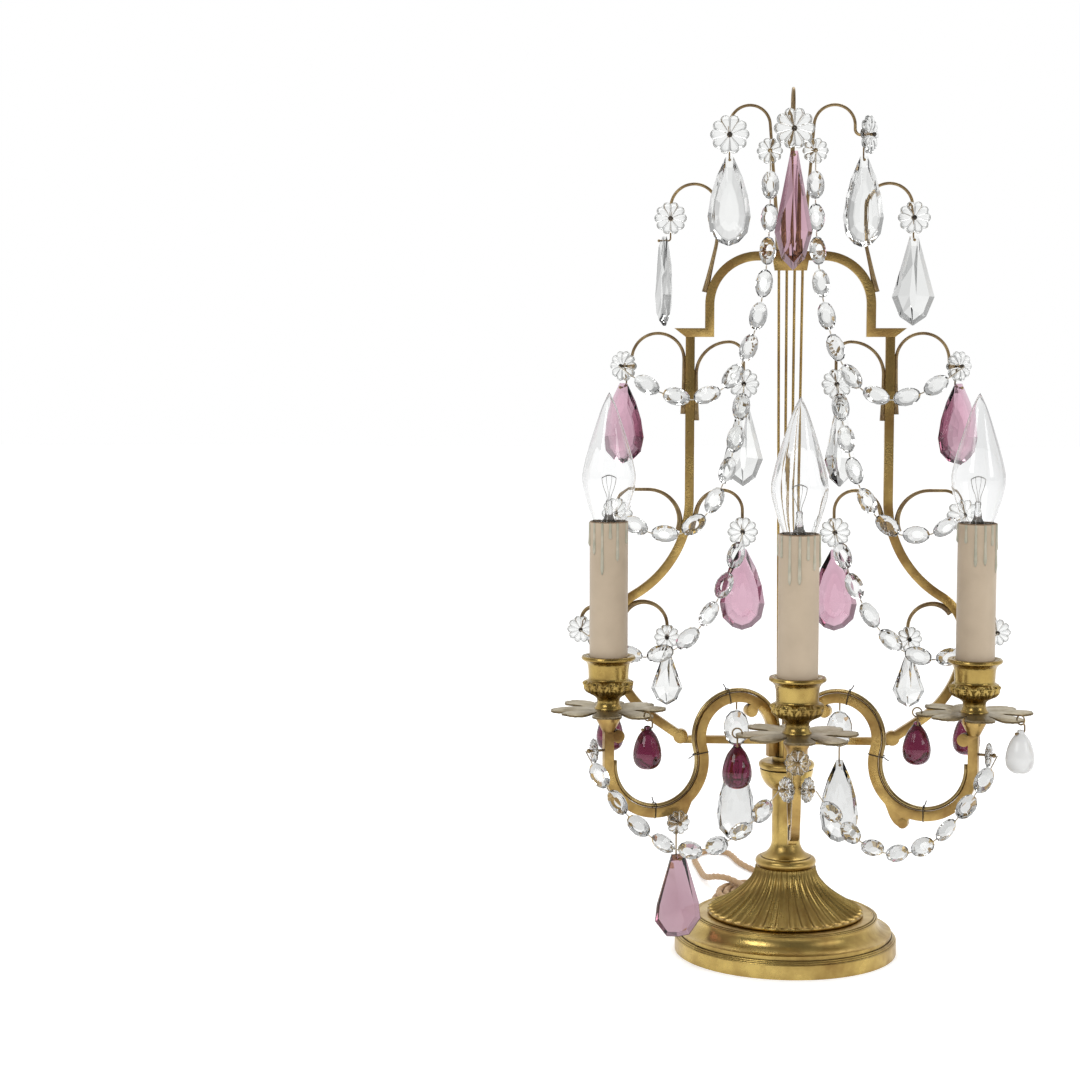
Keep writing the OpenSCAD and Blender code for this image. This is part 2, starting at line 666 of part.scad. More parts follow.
module rosettes() {
  color(crystal) {
    for (p = pendants) at_rosette(p) rosette(p[4]);
    at_rosette(top_pendant) rosette(top_pendant[4]);
    for (q = arm_rosettes) at_arm_rosette(q) rosette(q[5]);
    for (s = [-1, 1]) at_start(s) rosette(start_r);
  }
}

// Links: each hangs from a stalk, and its lower end is the pin that a drop swings on
pin_bend = 1.6;
pin_reach = 3.8;
ring_r = wire_r + wire_gap + link_r;

// Draws a wire path that starts downwards and whose left turns lead to the front
module hang() {
  multmatrix([[0, 0, -1, 0], [0, -1, 0, 0], [-1, 0, 0, 0], [0, 0, 0, 1]]) children();
}

// From height top down to the pin at height -fall, which runs forward past the drop's middle plane
module link_pin(top, fall) {
  translate([0, 0, top]) hang() wire_run([
    ["line", fall + top - pin_bend], ["arc", pin_bend, 90], ["line", link_y - pin_bend + pin_reach]], link_r);
  translate([0, -link_y - pin_reach, -fall]) sphere(r = link_r * 1.8);
}

module stalk_ring(y) {
  translate([0, y, 0]) rotate([90, 0, 0]) rotate_extrude() translate([ring_r, 0]) circle(r = link_r);
}

module drop_links() {
  color(old_brass) {
    for (p = concat(pendants, [top_pendant])) if (p[6] != "none") {
      at_rosette(p) stalk_ring(link_y);
      at_link(p) link_pin(-ring_r, p[4] + hole_drop);
    }
    for (q = pan_drops) at_pan_drop(q) pan_link();
    for (q = arm_drops) at_arm_drop(q) arm_link(q);
    for (q = arm_rosettes) at_arm_rosette(q) arm_pin(q);
    at_arm_rosette(kite_rosette) {
      stalk_ring(link_y);
      translate([0, link_y, 0]) link_pin(-ring_r, kite_fall);
    }
    for (s = [-1, 1]) at_start(s) start_pin();
  }
}

module start_pin() {
  stub = rosette_t / 2 + ball_r + wire_gap;
  translate([0, start_stalk, 0]) rotate([90, 0, 0]) cylinder(h = start_stalk + stub, r = wire_r);
  translate([0, -stub, 0]) sphere(r = ball_r);
}

// Gap from the arm's middle line to the start of a pin, wider for a pin that leans
function pin_start(q) = q[3] == 90 ? arm_t / 2 + seat : (wire_r * sin(abs(q[3])) + seat) / cos(q[3]);

module arm_pin(q) {
  stub = rosette_t / 2 + ball_r + wire_gap;
  run = q[4] - pin_start(q);
  translate([0, run, 0]) rotate([90, 0, 0]) cylinder(h = run + stub, r = wire_r);
  translate([0, -stub, 0]) sphere(r = ball_r);
}

// Cut drops: an outline with a thin edge and a smaller flat table on each face
table_w = 0.58;
table_h = 0.68;
function half_outline(shape, l, w) =
  shape == "kite"
    ? [[2.3, 0], [w * 0.5, -l * 0.68], [w * 0.3, -l * 0.9]]
    : shape == "shield"
    ? [[w * 0.14, 0], [w * 0.46, -l * 0.6], [w * 0.5, -l * 0.8], [w * 0.25, -l * 0.985]]
    : [[2.1, 0], [w * 0.3, -l * 0.23], [w * 0.43, -l * 0.44], [w * 0.5, -l * 0.67], [w * 0.43, -l * 0.85],
       [w * 0.22, -l * 0.96]];
function outline(shape, l, w) =
  let (h = half_outline(shape, l, w), n = len(h))
  concat(h, [[0, -l]], [for (i = [n - 1 : -1 : 0]) [-h[i][0], h[i][1]]]);
function layer(loop, y, sx, sz, mid) = [for (p = loop) [p[0] * sx, y, mid + (p[1] - mid) * sz]];

module cut_drop(shape, l, w) {
  loop = [for (p = outline(shape, l, w)) [p[0], p[1] + hole_edge]];
  mid = hole_edge - l * 0.64;
  points = concat(
    layer(loop, -drop_t / 2, table_w, table_h, mid), layer(loop, -girdle_t / 2, 1, 1, mid),
    layer(loop, girdle_t / 2, 1, 1, mid), layer(loop, drop_t / 2, table_w, table_h, mid));
  difference() {
    polyhedron(points = points, faces = ring_faces(4, len(loop)));
    rotate([90, 0, 0]) cylinder(h = drop_t * 2, r = link_r + pin_gap, center = true);
  }
}

module pendant_drop(name, tint) {
  for (p = concat(pendants, [top_pendant])) if (p[9] == name)
    color(tint) at_link(p) translate([0, -link_y, -p[4] - hole_drop]) cut_drop(p[6], p[7], p[8]);
}

// Smooth drops under the drip pans: arm number and direction of the petal, in the lamp's frame
pan_drop_l = 27;
pan_drop_r = 8.6;
pan_hole_r = 31.5;
pan_link_ring = 2.8;
pan_wire_r = 0.45;
pan_drops = [
  [0, -45, "pan_drop_left_front"], [0, 90, "pan_drop_left_back"], [1, 180, "pan_drop_front_left"],
  [2, 180, "pan_drop_right_inner"], [2, 90, "pan_drop_right_back"], [2, -45, "pan_drop_right_front"]
];
function candle_at(arm) = [arm_reach * cos(arm_azimuths[arm]), arm_reach * sin(arm_azimuths[arm])];
function pan_drop_at(q) =
  let (c = candle_at(q[0]), r = pan_hole_r + pan_link_ring)
  [c[0] + r * cos(q[1]), c[1] + r * sin(q[1]), arm_top_z + pan_t / 2];

// Frame of a pan drop: the drop's middle plane holds the petal's direction, and the pin crosses it
module at_pan_drop(q) { translate(pan_drop_at(q)) rotate([0, 0, q[1]]) children(); }

// A ring through the petal's hole, then a hairpin whose lower leg is the drop's pin
pan_leg = 2;
pan_bend = 1.5;
pan_side = 2.6;
pan_pin = 4.2;
pan_hole_z = -(pan_link_ring + 2 * pan_bend + pan_leg);
module pan_link() {
  rotate([90, 0, 0]) rotate_extrude() translate([pan_link_ring, 0]) circle(r = pan_wire_r);
  translate([0, 0, -pan_link_ring]) multmatrix([[0, 0, 1, 0], [1, 0, 0, 0], [0, 1, 0, 0], [0, 0, 0, 1]])
    wire_run([
      ["line", pan_side], ["arc", pan_bend, -90], ["line", pan_leg], ["arc", pan_bend, -90],
      ["line", pan_side + pan_pin]], link_r);
  translate([0, -pan_pin, pan_hole_z]) sphere(r = link_r * 1.8);
}

module pan_drop(name, tint) {
  l = pan_drop_l;
  r = pan_drop_r;
  for (q = pan_drops) if (q[2] == name)
    color(tint) at_pan_drop(q) translate([0, 0, pan_hole_z + 2.2 - l]) difference() {
      revolve([[0, 0], [r * 0.52, l * 0.04], [r * 0.88, l * 0.15], [r, l * 0.34], [r * 0.88, l * 0.57],
        [r * 0.66, l * 0.75], [r * 0.44, l * 0.85], [r * 0.28, l * 0.92], [r * 0.2, l * 0.98], [0, l]]);
      translate([0, 0, l - 2.2]) rotate([90, 0, 0]) cylinder(h = r * 3, r = link_r + pin_gap, center = true);
    }
}

// Large drops that hang under the side arms' upper scrolls, each below a bead
arm_bead_l = 23;
arm_bead_w = 16;
arm_stem = 5;
arm_drop_l = 52;
arm_drop_w = 24;
arm_drop_fall = arm_stem + arm_bead_l + 10;
arm_drops = [[0, "arm_drop_left"], [2, "arm_drop_right"]];
function arm_drop_at(q) =
  let (rho = arm_root + arm_arch_r, a = arm_azimuths[q[0]])
  [rho * cos(a), rho * sin(a) - link_y, arm_arch_z + arm_arch_r - arm_w / 2];
module at_arm_drop(q) { translate(arm_drop_at(q)) children(); }

module arm_link(q) {
  translate([0, link_y, -arm_stem + wire_gap]) cylinder(h = arm_stem - wire_gap - seat, r = link_r);
  translate([0, link_y, 0]) link_pin(-arm_stem - arm_bead_l - wire_gap, arm_drop_fall);
}

module arm_drop(name) {
  for (q = arm_drops) if (q[1] == name)
    color(crystal) at_arm_drop(q) translate([0, 0, -arm_drop_fall]) cut_drop("pear", arm_drop_l, arm_drop_w);
}

// Rosette that carries the kite on the left arm's knob
kite_rosette = arm_rosettes[5];
kite_fall = kite_rosette[5] + hole_drop + 11;
kite_az = arm_azimuths[0] + kite_rosette[3];
kite_axis = [cos(kite_az), sin(kite_az), 0];
kite_hole = [
  kite_rosette[1] * cos(arm_azimuths[0]) + kite_rosette[4] * cos(kite_az),
  kite_rosette[1] * sin(arm_azimuths[0]) + kite_rosette[4] * sin(kite_az),
  kite_rosette[2] - kite_fall
];
kite_l = 52;
kite_w = 29.5;
module arm_kite_left() {
  color(amethyst) at_arm_rosette(kite_rosette)
    translate([0, 0, -kite_fall]) cut_drop("shield", kite_l, kite_w);
}

// Garlands: beads strung at an even pitch along a hanging curve between two pins
bead_sides = 8;
bead_table = 0.55;
sag_steps = 48;
end_wire = 3;
end_gap = 0.4;
pin_front = rosette_t / 2 + 2 * ball_r + garland_wire_r + end_gap;

function unit(v) = v / norm(v);
function hanging(g) = [for (i = [0 : sag_steps])
  let (t = i / sag_steps) (1 - t) * (1 - t) * g[0] + 2 * t * (1 - t) * g[1] + t * t * g[2]];
function lengths(c, i = 1, out = [0]) =
  i == len(c) ? out : lengths(c, i + 1, concat(out, [out[i - 1] + norm(c[i] - c[i - 1])]));
function point_along(c, cum, s) =
  let (i = max([for (k = [0 : len(cum) - 2]) if (cum[k] <= max(s, 0)) k]))
  c[i] + (c[i + 1] - c[i]) * (s - cum[i]) / (cum[i + 1] - cum[i]);
function bead_count(total) = floor((total - 2 * end_wire + bead_pitch - bead_l) / bead_pitch);
// The two ends of every bead on a garland
function bead_ends(g) =
  let (c = hanging(g), cum = lengths(c), total = cum[sag_steps], n = bead_count(total),
       s0 = (total - (n - 1) * bead_pitch - bead_l) / 2)
  [for (i = [0 : n - 1])
    let (a = point_along(c, cum, s0 + i * bead_pitch), b = point_along(c, cum, s0 + i * bead_pitch + bead_l),
         mid = (a + b) / 2, u = unit(b - a))
    [mid - u * bead_l / 2, mid + u * bead_l / 2]];

// A flat oval bead, cut with a table on each face, between two ends and turned about its length
module bead(a, b, w, t, turn) {
  u = unit(b - a);
  flat_v = unit(cross([0, -1, 0.001], u));
  flat_w = cross(u, flat_v);
  v = flat_v * cos(turn) + flat_w * sin(turn);
  n = cross(u, v);
  mid = (a + b) / 2;
  l = norm(b - a);
  rings = [for (f = [[-1, bead_table], [0, 1], [1, bead_table]]) [for (k = [0 : bead_sides - 1])
    let (q = 360 * k / bead_sides)
    mid + u * l / 2 * f[1] * cos(q) + v * w / 2 * f[1] * sin(q) + n * t / 2 * f[0]]];
  polyhedron(points = [for (r = rings) each r], faces = ring_faces(3, bead_sides));
}

module garland_beads(g) {
  ends = bead_ends(g);
  for (i = [0 : len(ends) - 1]) bead(ends[i][0], ends[i][1], bead_w, bead_t, 22 * sin(137 * i));
}

module garland_wire(g) {
  ends = bead_ends(g);
  n = len(ends);
  gap = wire_gap;
  module tie(a, b) { rod_between(a + unit(b - a) * gap, b - unit(b - a) * gap, garland_wire_r); }
  tie(g[0], ends[0][0]);
  for (i = [0 : n - 2]) tie(ends[i][1], ends[i + 1][0]);
  tie(ends[n - 1][1], g[2]);
}

// Where a garland's end wire meets the ball on a hook's pin, on the right-hand side
function ball_front(p) =
  let (c = rosette_at(p)) [c[0] + pin_front * sin(p[2]), c[1] - pin_front * cos(p[2]), c[2]];
garland_front = -30;
low_front = -24;
start_front = [start_x, lyre_y - start_stalk - pin_front, start_z];
long_swag = [9, garland_front, flare_z + 8];
middle_swag = [42, garland_front, flare_z - 54];
low_swag = [60, low_front, flare_z - 131];
right_garlands = [
  [start_front, long_swag, ball_front(pendants[5])],
  [ball_front(pendants[7]), middle_swag, ball_front(pendants[9])],
  [ball_front(pendants[11]), low_swag, ball_front(pendants[15])]
];
function flip(p) = [-p[0], p[1], p[2]];
left_garlands = [for (g = right_garlands) [for (p = g) flip(p)]];

// Lower swags, from a side arm's outer rosette to the front arm's
function arm_ball(q) =
  let (a = arm_azimuths[q[0]], b = a + q[3], d = q[4] + pin_front)
  [q[1] * cos(a) + d * cos(b), q[1] * sin(a) + d * sin(b), q[2]];
lower_sag = 96;
function swag(a, b) = [a, (a + b) / 2 - [0, 0, lower_sag], b];
lower_garlands = [
  swag(arm_ball(arm_rosettes[0]), arm_ball(arm_rosettes[4])),
  swag(arm_ball(arm_rosettes[1]), arm_ball(arm_rosettes[3]))
];

module garland_right() { color(crystal) for (g = right_garlands) garland_beads(g); }
module garland_left() { color(crystal) for (g = left_garlands) garland_beads(g); }
module garland_lower() {
  color(crystal) {
    for (g = lower_garlands) garland_beads(g);
    for (q = arm_drops)
      let (c = arm_drop_at(q) + [0, link_y, -arm_stem])
      bead(c - [0, 0, arm_bead_l], c, arm_bead_w, bead_t + 2, 0);
  }
}
module garland_wires() {
  color(old_brass) for (g = concat(right_garlands, left_garlands, lower_garlands)) garland_wire(g);
}

// Arm: an S of flat bar with curls inside its scrolls, a drilled knob and a turned cap for the candle
curl_r = 4;
curl_turn = 122;
cap_rim_r = 7.4;
cap_neck_r = 3.6;
arm_path = [
  ["line", arm_arch_z - arm_foot_z], ["arc", arm_arch_r, -90], ["arc", arm_arch_r, -90 - arm_turn],
  ["arc", arm_bowl_r, 90 + arm_turn], ["arc", arm_bowl_r, 90], ["line", arm_top_z - arm_cap_h - bowl_z]
];
module disc_across(rho, z, r, t) {
  translate([rho, 0, z]) rotate([90, 0, 0]) cylinder(h = t, r = r, center = true);
}

module arm(number) {
  bend_rho = arm_root + arm_arch_r;
  curl = arm_arch_r - arm_w / 2 - curl_r + 0.8;
  color(brass) rotate([0, 0, arm_azimuths[number]]) difference() {
    union() {
      upright(arm_root, arm_foot_z, 90) bar_run(arm_path, arm_w, arm_t);
      disc_across(bend_rho + curl * cos(curl_turn), arm_arch_z + curl * sin(curl_turn), curl_r, arm_t);
      disc_across(arm_reach - arm_w / 2 - curl_r + 1.2, arm_top_z - arm_cap_h - 3, curl_r, arm_t);
      disc_across(knob_at[0], knob_at[1], knob_r, arm_t);
      translate([knob_at[0], 0, knob_at[1]]) rotate([0, 180 - knob_turn, 0])
        translate([0, -arm_t / 2 + 0.5, -1.8]) cube([6, arm_t - 1, 3.6]);
      translate([arm_reach, 0, arm_top_z - arm_cap_h]) {
        cylinder(h = 7.5, r1 = cap_neck_r, r2 = cap_rim_r);
        translate([0, 0, 7.5]) cylinder(h = arm_cap_h - 7.5, r = cap_rim_r);
      }
    }
    translate([arm_reach, 0, arm_top_z - 5]) cylinder(h = 6, r = nipple_r + rod_gap);
  }
}
module arm_left() { arm(0); }
module arm_front() { arm(1); }
module arm_right() { arm(2); }

// Wiring tubes: outside each upper scroll and inside each bowl
module arm_conduits() {
  off = arm_w / 2 + conduit_r + seat;
  first = 8;
  r = arm_arch_r + off;
  color(old_brass) for (a = arm_azimuths) rotate([0, 0, a])
    upright(arm_root + arm_arch_r - r * cos(first), arm_arch_z + r * sin(first), 90 - first)
      swept_wire([["arc", r, first - 180 - arm_turn], ["arc", arm_bowl_r - off, 180 + arm_turn], ["line", 3]],
        conduit_r, tube_bend);
}

// Drip pan: separate petals with notched tips, each drilled for a hook
module at_candles() {
  for (i = [0 : 2]) translate([candle_at(i)[0], candle_at(i)[1], 0]) children();
}

petal_n = 8;
module drip_pans() {
  tip = 9;
  color(brass) at_candles() translate([0, 0, arm_top_z]) linear_extrude(pan_t) difference() {
    for (k = [0 : petal_n - 1]) rotate(360 * k / petal_n) {
      translate([0, -6.6]) square([pan_r - tip, 13.2]);
      translate([pan_r - tip, 0]) circle(r = tip);
    }
    circle(r = nipple_r + rod_gap);
    for (k = [0 : petal_n - 1]) rotate(360 * k / petal_n) {
      translate([pan_hole_r, 0]) circle(r = 1);
      translate([pan_r + 0.6, 0]) circle(r = 1.6);
    }
  }
}

// Candle cup: a turned foot, a full bowl, a waist and a flared rim
module candle_cups() {
  h = cup_h;
  color(brass) at_candles() translate([0, 0, cup_z]) difference() {
    revolve([[6.8, 0], [6.8, h * 0.05], [5.8, h * 0.19], [7, h * 0.27], [11.5, h * 0.34], [14.4, h * 0.44],
      [14, h * 0.54], [12.4, h * 0.64], [12.6, h * 0.8], [14.2, h * 0.92], [cup_rim_r, h * 0.97],
      [cup_rim_r, h]]);
    translate([0, 0, -1]) cylinder(h = h + 2, r = nipple_r + rod_gap);
    translate([0, 0, ledge_z - cup_z]) cylinder(h = h, r = sleeve_r + sleeve_gap);
  }
}

module candle_sleeves() {
  color(ivory) at_candles() translate([0, 0, ledge_z]) difference() {
    cylinder(h = sleeve_h, r = sleeve_r);
    translate([0, 0, -1]) cylinder(h = sleeve_h + 2, r = sleeve_r - sleeve_wall);
  }
}

// Lamp holder: a threaded nipple through cup and pan, with the socket on top of it
holder_h = 60;
socket_depth = 24;
module lamp_holders() {
  low = arm_top_z - 4.9;
  base = holder_top_z - holder_h;
  color(old_brass) at_candles() difference() {
    union() {
      translate([0, 0, low]) cylinder(h = base - low, r = nipple_r);
      translate([0, 0, base]) cylinder(h = holder_h, r = holder_r);
    }
    translate([0, 0, low - 1]) cylinder(h = base - low + 6, r = nipple_r - 1.2);
    translate([0, 0, holder_top_z - socket_depth]) cylinder(h = socket_depth + 1, r = cap_r + rod_gap);
  }
}

// Flame-shaped bulb: screw cap, thin glass and the filament on its stem
glass_t = 0.8;
bulb_z = holder_top_z + 2;
cap_h = 22;
module bulb(i) {
  h = bulb_h;
  r = bulb_r;
  neck = cap_r + 2.2;
  base_t = 1.2;
  mount_h = 16;
  wire_top = 31;
  wire_spread = 4.5;
  outer = [[neck, 0], [neck + 0.2, h * 0.05], [r * 0.78, h * 0.17], [r, h * 0.35], [r * 0.9, h * 0.5],
    [r * 0.6, h * 0.7], [r * 0.26, h * 0.9], [0, h]];
  inner = concat([for (k = [0 : len(outer) - 2]) outer[k] - [glass_t, 0]], [[0, h * 0.97]]);
  curve = smooth(inner, 4);
  color(crystal) translate([candle_at(i)[0], candle_at(i)[1], bulb_z]) {
    rotate_extrude() polygon(concat(smooth(outer, 4), [for (k = [len(curve) - 1 : -1 : 0]) curve[k]]));
    cylinder(h = base_t, r = neck - glass_t / 2);
    translate([0, 0, -cap_h]) cylinder(h = cap_h, r = cap_r);
    translate([0, 0, base_t]) cylinder(h = mount_h, r1 = 3.4, r2 = 1.6);
    for (s = [-1, 1]) rod_between([s * 0.9, 0, base_t + mount_h - 1], [s * wire_spread, 0, wire_top], 0.3);
    rod_between([-wire_spread, 0, wire_top], [wire_spread, 0, wire_top], 0.45);
  }
}
module bulb_left() { bulb(0); }
module bulb_front() { bulb(1); }
module bulb_right() { bulb(2); }

// Cord: out of the bush, over its own coil, back along the table in a loop and into the coil
lead_route = [
  [-18, 71, 14], [-18, 80, 14], [-19, 92, 13.5], [-22, 106, 13], [-27, 120, 12.6], [-34, 134, 12],
  [-41, 148, 9.5], [-46, 162, 5.5], [-49, 176, 3], [-51, 190, 2.4], [-53, 206, 2.4], [-55, 222, 2.4],
  [-55, 238, 2.4], [-50, 251, 2.4], [-40, 256, 2.4], [-31, 250, 2.4], [-27, 238, 2.4], [-24, 224, 2.4],
  [-19, 210, 2.4], [-12, 196, 2.4], [-4, 183, 2.4], [6, 171, 2.4], [15, 159, 2.4], [22, 146, 2.4],
  [26, 132, 2.4], [27, 122, 2.4], [27, 116, 2.4]
];
tail_route = [
  [24, 105, 7.35], [23.5, 98, 7.7], [21, 90, 9], [15, 84, 10.6], [7, 82, 12.4], [1, 86, 14.4], [-1, 93, 16],
  [-1, 98, 16.4], [-1, 104, 16.4]
];
coil_mid = [-9, 111];
coil_out_r = 36;
coil_step = 4.95;
coil_low_z = 2.4;
coil_rings = 24;
coil_lead = 5;
coil_sides = 6;
coil_in_r = coil_out_r - coil_turns * coil_step;
coil_half = 0.5;
coil_ease = 1.95;
coil_ease_turns = 0.75;
coil_top_turns = coil_turns - 0.5;
coil_total = coil_turns + coil_half + coil_top_turns;

// Radius and height of the coil after a number of turns: in, up a layer in half a turn, and out again
function coil_r(t) =
  t < coil_turns ? coil_out_r - coil_step * t
  : t < coil_turns + coil_half ? coil_in_r - coil_step * (t - coil_turns)
  : coil_in_r + coil_step * (t - coil_turns - 2 * coil_half)
    + coil_ease * min((t - coil_turns - coil_half) / coil_ease_turns, 1);
function coil_z(t) =
  let (f = min(max((t - coil_turns) / coil_half, 0), 1)) coil_low_z + coil_step * (1 - cos(180 * f)) / 2;
coil_points = concat(
  [[coil_mid[0] + coil_out_r, coil_mid[1] + coil_lead, coil_low_z]],
  [for (i = [0 : coil_rings * coil_total])
    let (t = i / coil_rings, r = coil_r(t), a = 360 * t)
    [coil_mid[0] + r * cos(a), coil_mid[1] - r * sin(a), coil_z(t)]],
  [[coil_mid[0] + coil_r(coil_total), coil_mid[1] - coil_lead - 1, coil_low_z + coil_step]]);

// Least gap between turns of the coil that lie at least half a turn apart
coil_gap = min([for (i = [0 : 2 : len(coil_points) - 1], k = [i + coil_rings / 2 : 1 : len(coil_points) - 1])
  norm(coil_points[i] - coil_points[k])]) - cord_d;
echo(coil_gap = coil_gap);
function route_length(c) = lengths(c)[len(c) - 1];
free_length = route_length(smooth(lead_route, 3)) + route_length(smooth(tail_route, 3));
echo(cord_length = free_length + route_length(coil_points));

// A round tube swept along points, kept level
module tube(c, d, sides) {
  n = len(c);
  rings = [for (i = [0 : n - 1])
    let (t = unit(c[min(i + 1, n - 1)] - c[max(i - 1, 0)]), s = unit(cross(t, [0, 0, 1])), up = cross(s, t))
    [for (k = [0 : sides - 1]) c[i] + d / 2 * (cos(360 * k / sides) * up + sin(360 * k / sides) * s * -1)]];
  polyhedron(points = [for (r = rings) each r], faces = ring_faces(n, sides));
}

module cord_lead() { color("tan") tube(smooth(lead_route, 2), cord_d, 8); }
module cord_coil() { color("tan") tube(coil_points, cord_d, coil_sides); }
module cord_tail() { color("tan") tube(smooth(tail_route, 2), cord_d, 8); }

// Plug on the coil, with two flat blades
plug_w = 24;
plug_h = 12.6;
plug_l = 24;
plug_at = tail_route[8];
blade_gap = 12.7;
module plug() {
  color("saddlebrown") translate(plug_at) rotate([-90, 0, 0]) difference() {
    union() {
      cylinder(h = 8, r = cord_d / 2 + 1.8);
      intersection() {
        translate([-plug_w / 2, -plug_h / 2, 6]) cube([plug_w, plug_h, plug_l - 6]);
        translate([0, 0, 6]) cylinder(h = plug_l - 6, r1 = plug_w * 0.44, r2 = plug_w * 0.56);
      }
    }
    for (s = [-1, 1]) translate([s * blade_gap / 2 - 0.9, -3.3, plug_l - 4]) cube([1.8, 6.6, 5]);
  }
}

module plug_pins() {
  color(brass) translate(plug_at) rotate([-90, 0, 0])
    for (s = [-1, 1]) translate([s * blade_gap / 2 - 0.75, -3.15, plug_l - 3.9]) cube([1.5, 6.3, 19.9]);
}

// Drops on the lyre
module drop_top_middle() { pendant_drop("drop_top_middle", amethyst); }
module drop_top_left() { pendant_drop("drop_top_left", crystal); }
module drop_top_right() { pendant_drop("drop_top_right", crystal); }
module drop_shoulder_left() { pendant_drop("drop_shoulder_left", crystal); }
module drop_shoulder_right() { pendant_drop("drop_shoulder_right", crystal); }
module drop_upper_outer_left() { pendant_drop("drop_upper_outer_left", amethyst); }
module drop_upper_outer_right() { pendant_drop("drop_upper_outer_right", amethyst); }
module drop_upper_inner_left() { pendant_drop("drop_upper_inner_left", crystal); }
module drop_upper_inner_right() { pendant_drop("drop_upper_inner_right", crystal); }
module drop_lower_outer_left() { pendant_drop("drop_lower_outer_left", crystal); }
module drop_lower_outer_right() { pendant_drop("drop_lower_outer_right", crystal); }
module drop_lower_inner_left() { pendant_drop("drop_lower_inner_left", amethyst); }
module drop_lower_inner_right() { pendant_drop("drop_lower_inner_right", amethyst); }
module drop_belly_left() { pendant_drop("drop_belly_left", crystal); }
module drop_belly_right() { pendant_drop("drop_belly_right", crystal); }

// Drops under the drip pans and the side arms
module pan_drop_left_front() { pan_drop("pan_drop_left_front", amethyst); }
module pan_drop_left_back() { pan_drop("pan_drop_left_back", amethyst); }
module pan_drop_front_left() { pan_drop("pan_drop_front_left", amethyst); }
module pan_drop_right_inner() { pan_drop("pan_drop_right_inner", amethyst); }
module pan_drop_right_back() { pan_drop("pan_drop_right_back", amethyst); }
module pan_drop_right_front() { pan_drop("pan_drop_right_front", crystal); }
module arm_drop_left() { arm_drop("arm_drop_left"); }
module arm_drop_right() { arm_drop("arm_drop_right"); }

// Hinge of every drop, as its node, the middle of its hole and the direction of its pin
for (p = concat(pendants, [top_pendant]))
  if (p[6] != "none") echo(hinge = p[9], at = hole_at(p), axis = hinge_axis(p));
for (q = pan_drops)
  echo(hinge = q[2], at = pan_drop_at(q) + [0, 0, pan_hole_z], axis = [-sin(q[1]), cos(q[1]), 0]);
for (q = arm_drops) echo(hinge = q[1], at = arm_drop_at(q) - [0, 0, arm_drop_fall], axis = [0, -1, 0]);
echo(hinge = "arm_kite_left", at = kite_hole, axis = kite_axis);
for (i = [0 : 2]) echo(candle = i, at = candle_at(i));

foot();
fluted_dome();
column();
hub();
tie_rod();
rod_nut();
cord_bush();
lyre_arch();
lyre_left_side();
lyre_right_side();
lyre_bottom_bar();
lyre_strings();
lyre_hooks();
rosettes();
drop_links();
garland_left();
garland_right();
garland_lower();
garland_wires();
arm_left();
arm_front();
arm_right();
arm_conduits();
drip_pans();
candle_cups();
candle_sleeves();
lamp_holders();
bulb_left();
bulb_front();
bulb_right();
drop_top_middle();
drop_top_left();
drop_top_right();
drop_shoulder_left();
drop_shoulder_right();
drop_upper_outer_left();
drop_upper_outer_right();
drop_upper_inner_left();
drop_upper_inner_right();
drop_lower_outer_left();
drop_lower_outer_right();
drop_lower_inner_left();
drop_lower_inner_right();
drop_belly_left();
drop_belly_right();
pan_drop_left_front();
pan_drop_left_back();
pan_drop_front_left();
pan_drop_right_inner();
pan_drop_right_back();
pan_drop_right_front();
arm_drop_left();
arm_drop_right();
arm_kite_left();
cord_lead();
cord_coil();
cord_tail();
plug();
plug_pins();
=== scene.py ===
"""Looks of a lyre-shaped girandole candle holder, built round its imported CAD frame.

Every piece stands where its CAD node stands. Small pieces that repeat, such as beads and rosettes,
are rebuilt one by one from the islands of their node's mesh.
"""

import json
import logging
import math
from dataclasses import dataclass
from enum import Enum
from typing import Any, Callable, Iterable, NamedTuple, Sequence

import bmesh
import bpy
import numpy as np
from mathutils import Matrix, Vector

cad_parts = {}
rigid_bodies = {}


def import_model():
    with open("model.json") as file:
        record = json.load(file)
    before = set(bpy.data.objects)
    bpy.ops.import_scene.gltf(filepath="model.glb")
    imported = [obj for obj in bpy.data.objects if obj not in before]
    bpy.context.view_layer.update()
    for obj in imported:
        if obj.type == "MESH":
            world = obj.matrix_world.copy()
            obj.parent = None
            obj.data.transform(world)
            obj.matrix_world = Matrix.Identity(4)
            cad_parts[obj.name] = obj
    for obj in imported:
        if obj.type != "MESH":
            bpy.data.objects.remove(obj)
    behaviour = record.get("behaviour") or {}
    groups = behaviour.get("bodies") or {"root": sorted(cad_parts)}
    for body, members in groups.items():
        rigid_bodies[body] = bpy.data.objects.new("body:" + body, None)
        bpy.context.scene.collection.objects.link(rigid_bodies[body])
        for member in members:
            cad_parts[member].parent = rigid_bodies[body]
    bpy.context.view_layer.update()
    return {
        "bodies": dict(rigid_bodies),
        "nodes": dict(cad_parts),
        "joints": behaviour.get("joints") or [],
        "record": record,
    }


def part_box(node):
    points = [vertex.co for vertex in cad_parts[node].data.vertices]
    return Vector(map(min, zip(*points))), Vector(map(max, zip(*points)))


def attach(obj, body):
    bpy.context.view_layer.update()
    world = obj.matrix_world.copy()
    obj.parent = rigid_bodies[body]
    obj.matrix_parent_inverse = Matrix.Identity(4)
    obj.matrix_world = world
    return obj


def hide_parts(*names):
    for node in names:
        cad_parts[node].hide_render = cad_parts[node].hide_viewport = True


LOG = logging.getLogger("girandole")
MM = 0.001
ROOT = "holder"
ACROSS = Vector((1.0, 0.0, 0.0))
BACK = Vector((0.0, 1.0, 0.0))
UP = Vector((0.0, 0.0, 1.0))
SMOOTH_BELOW = math.radians(28)
BEVEL_ABOVE = math.radians(40)

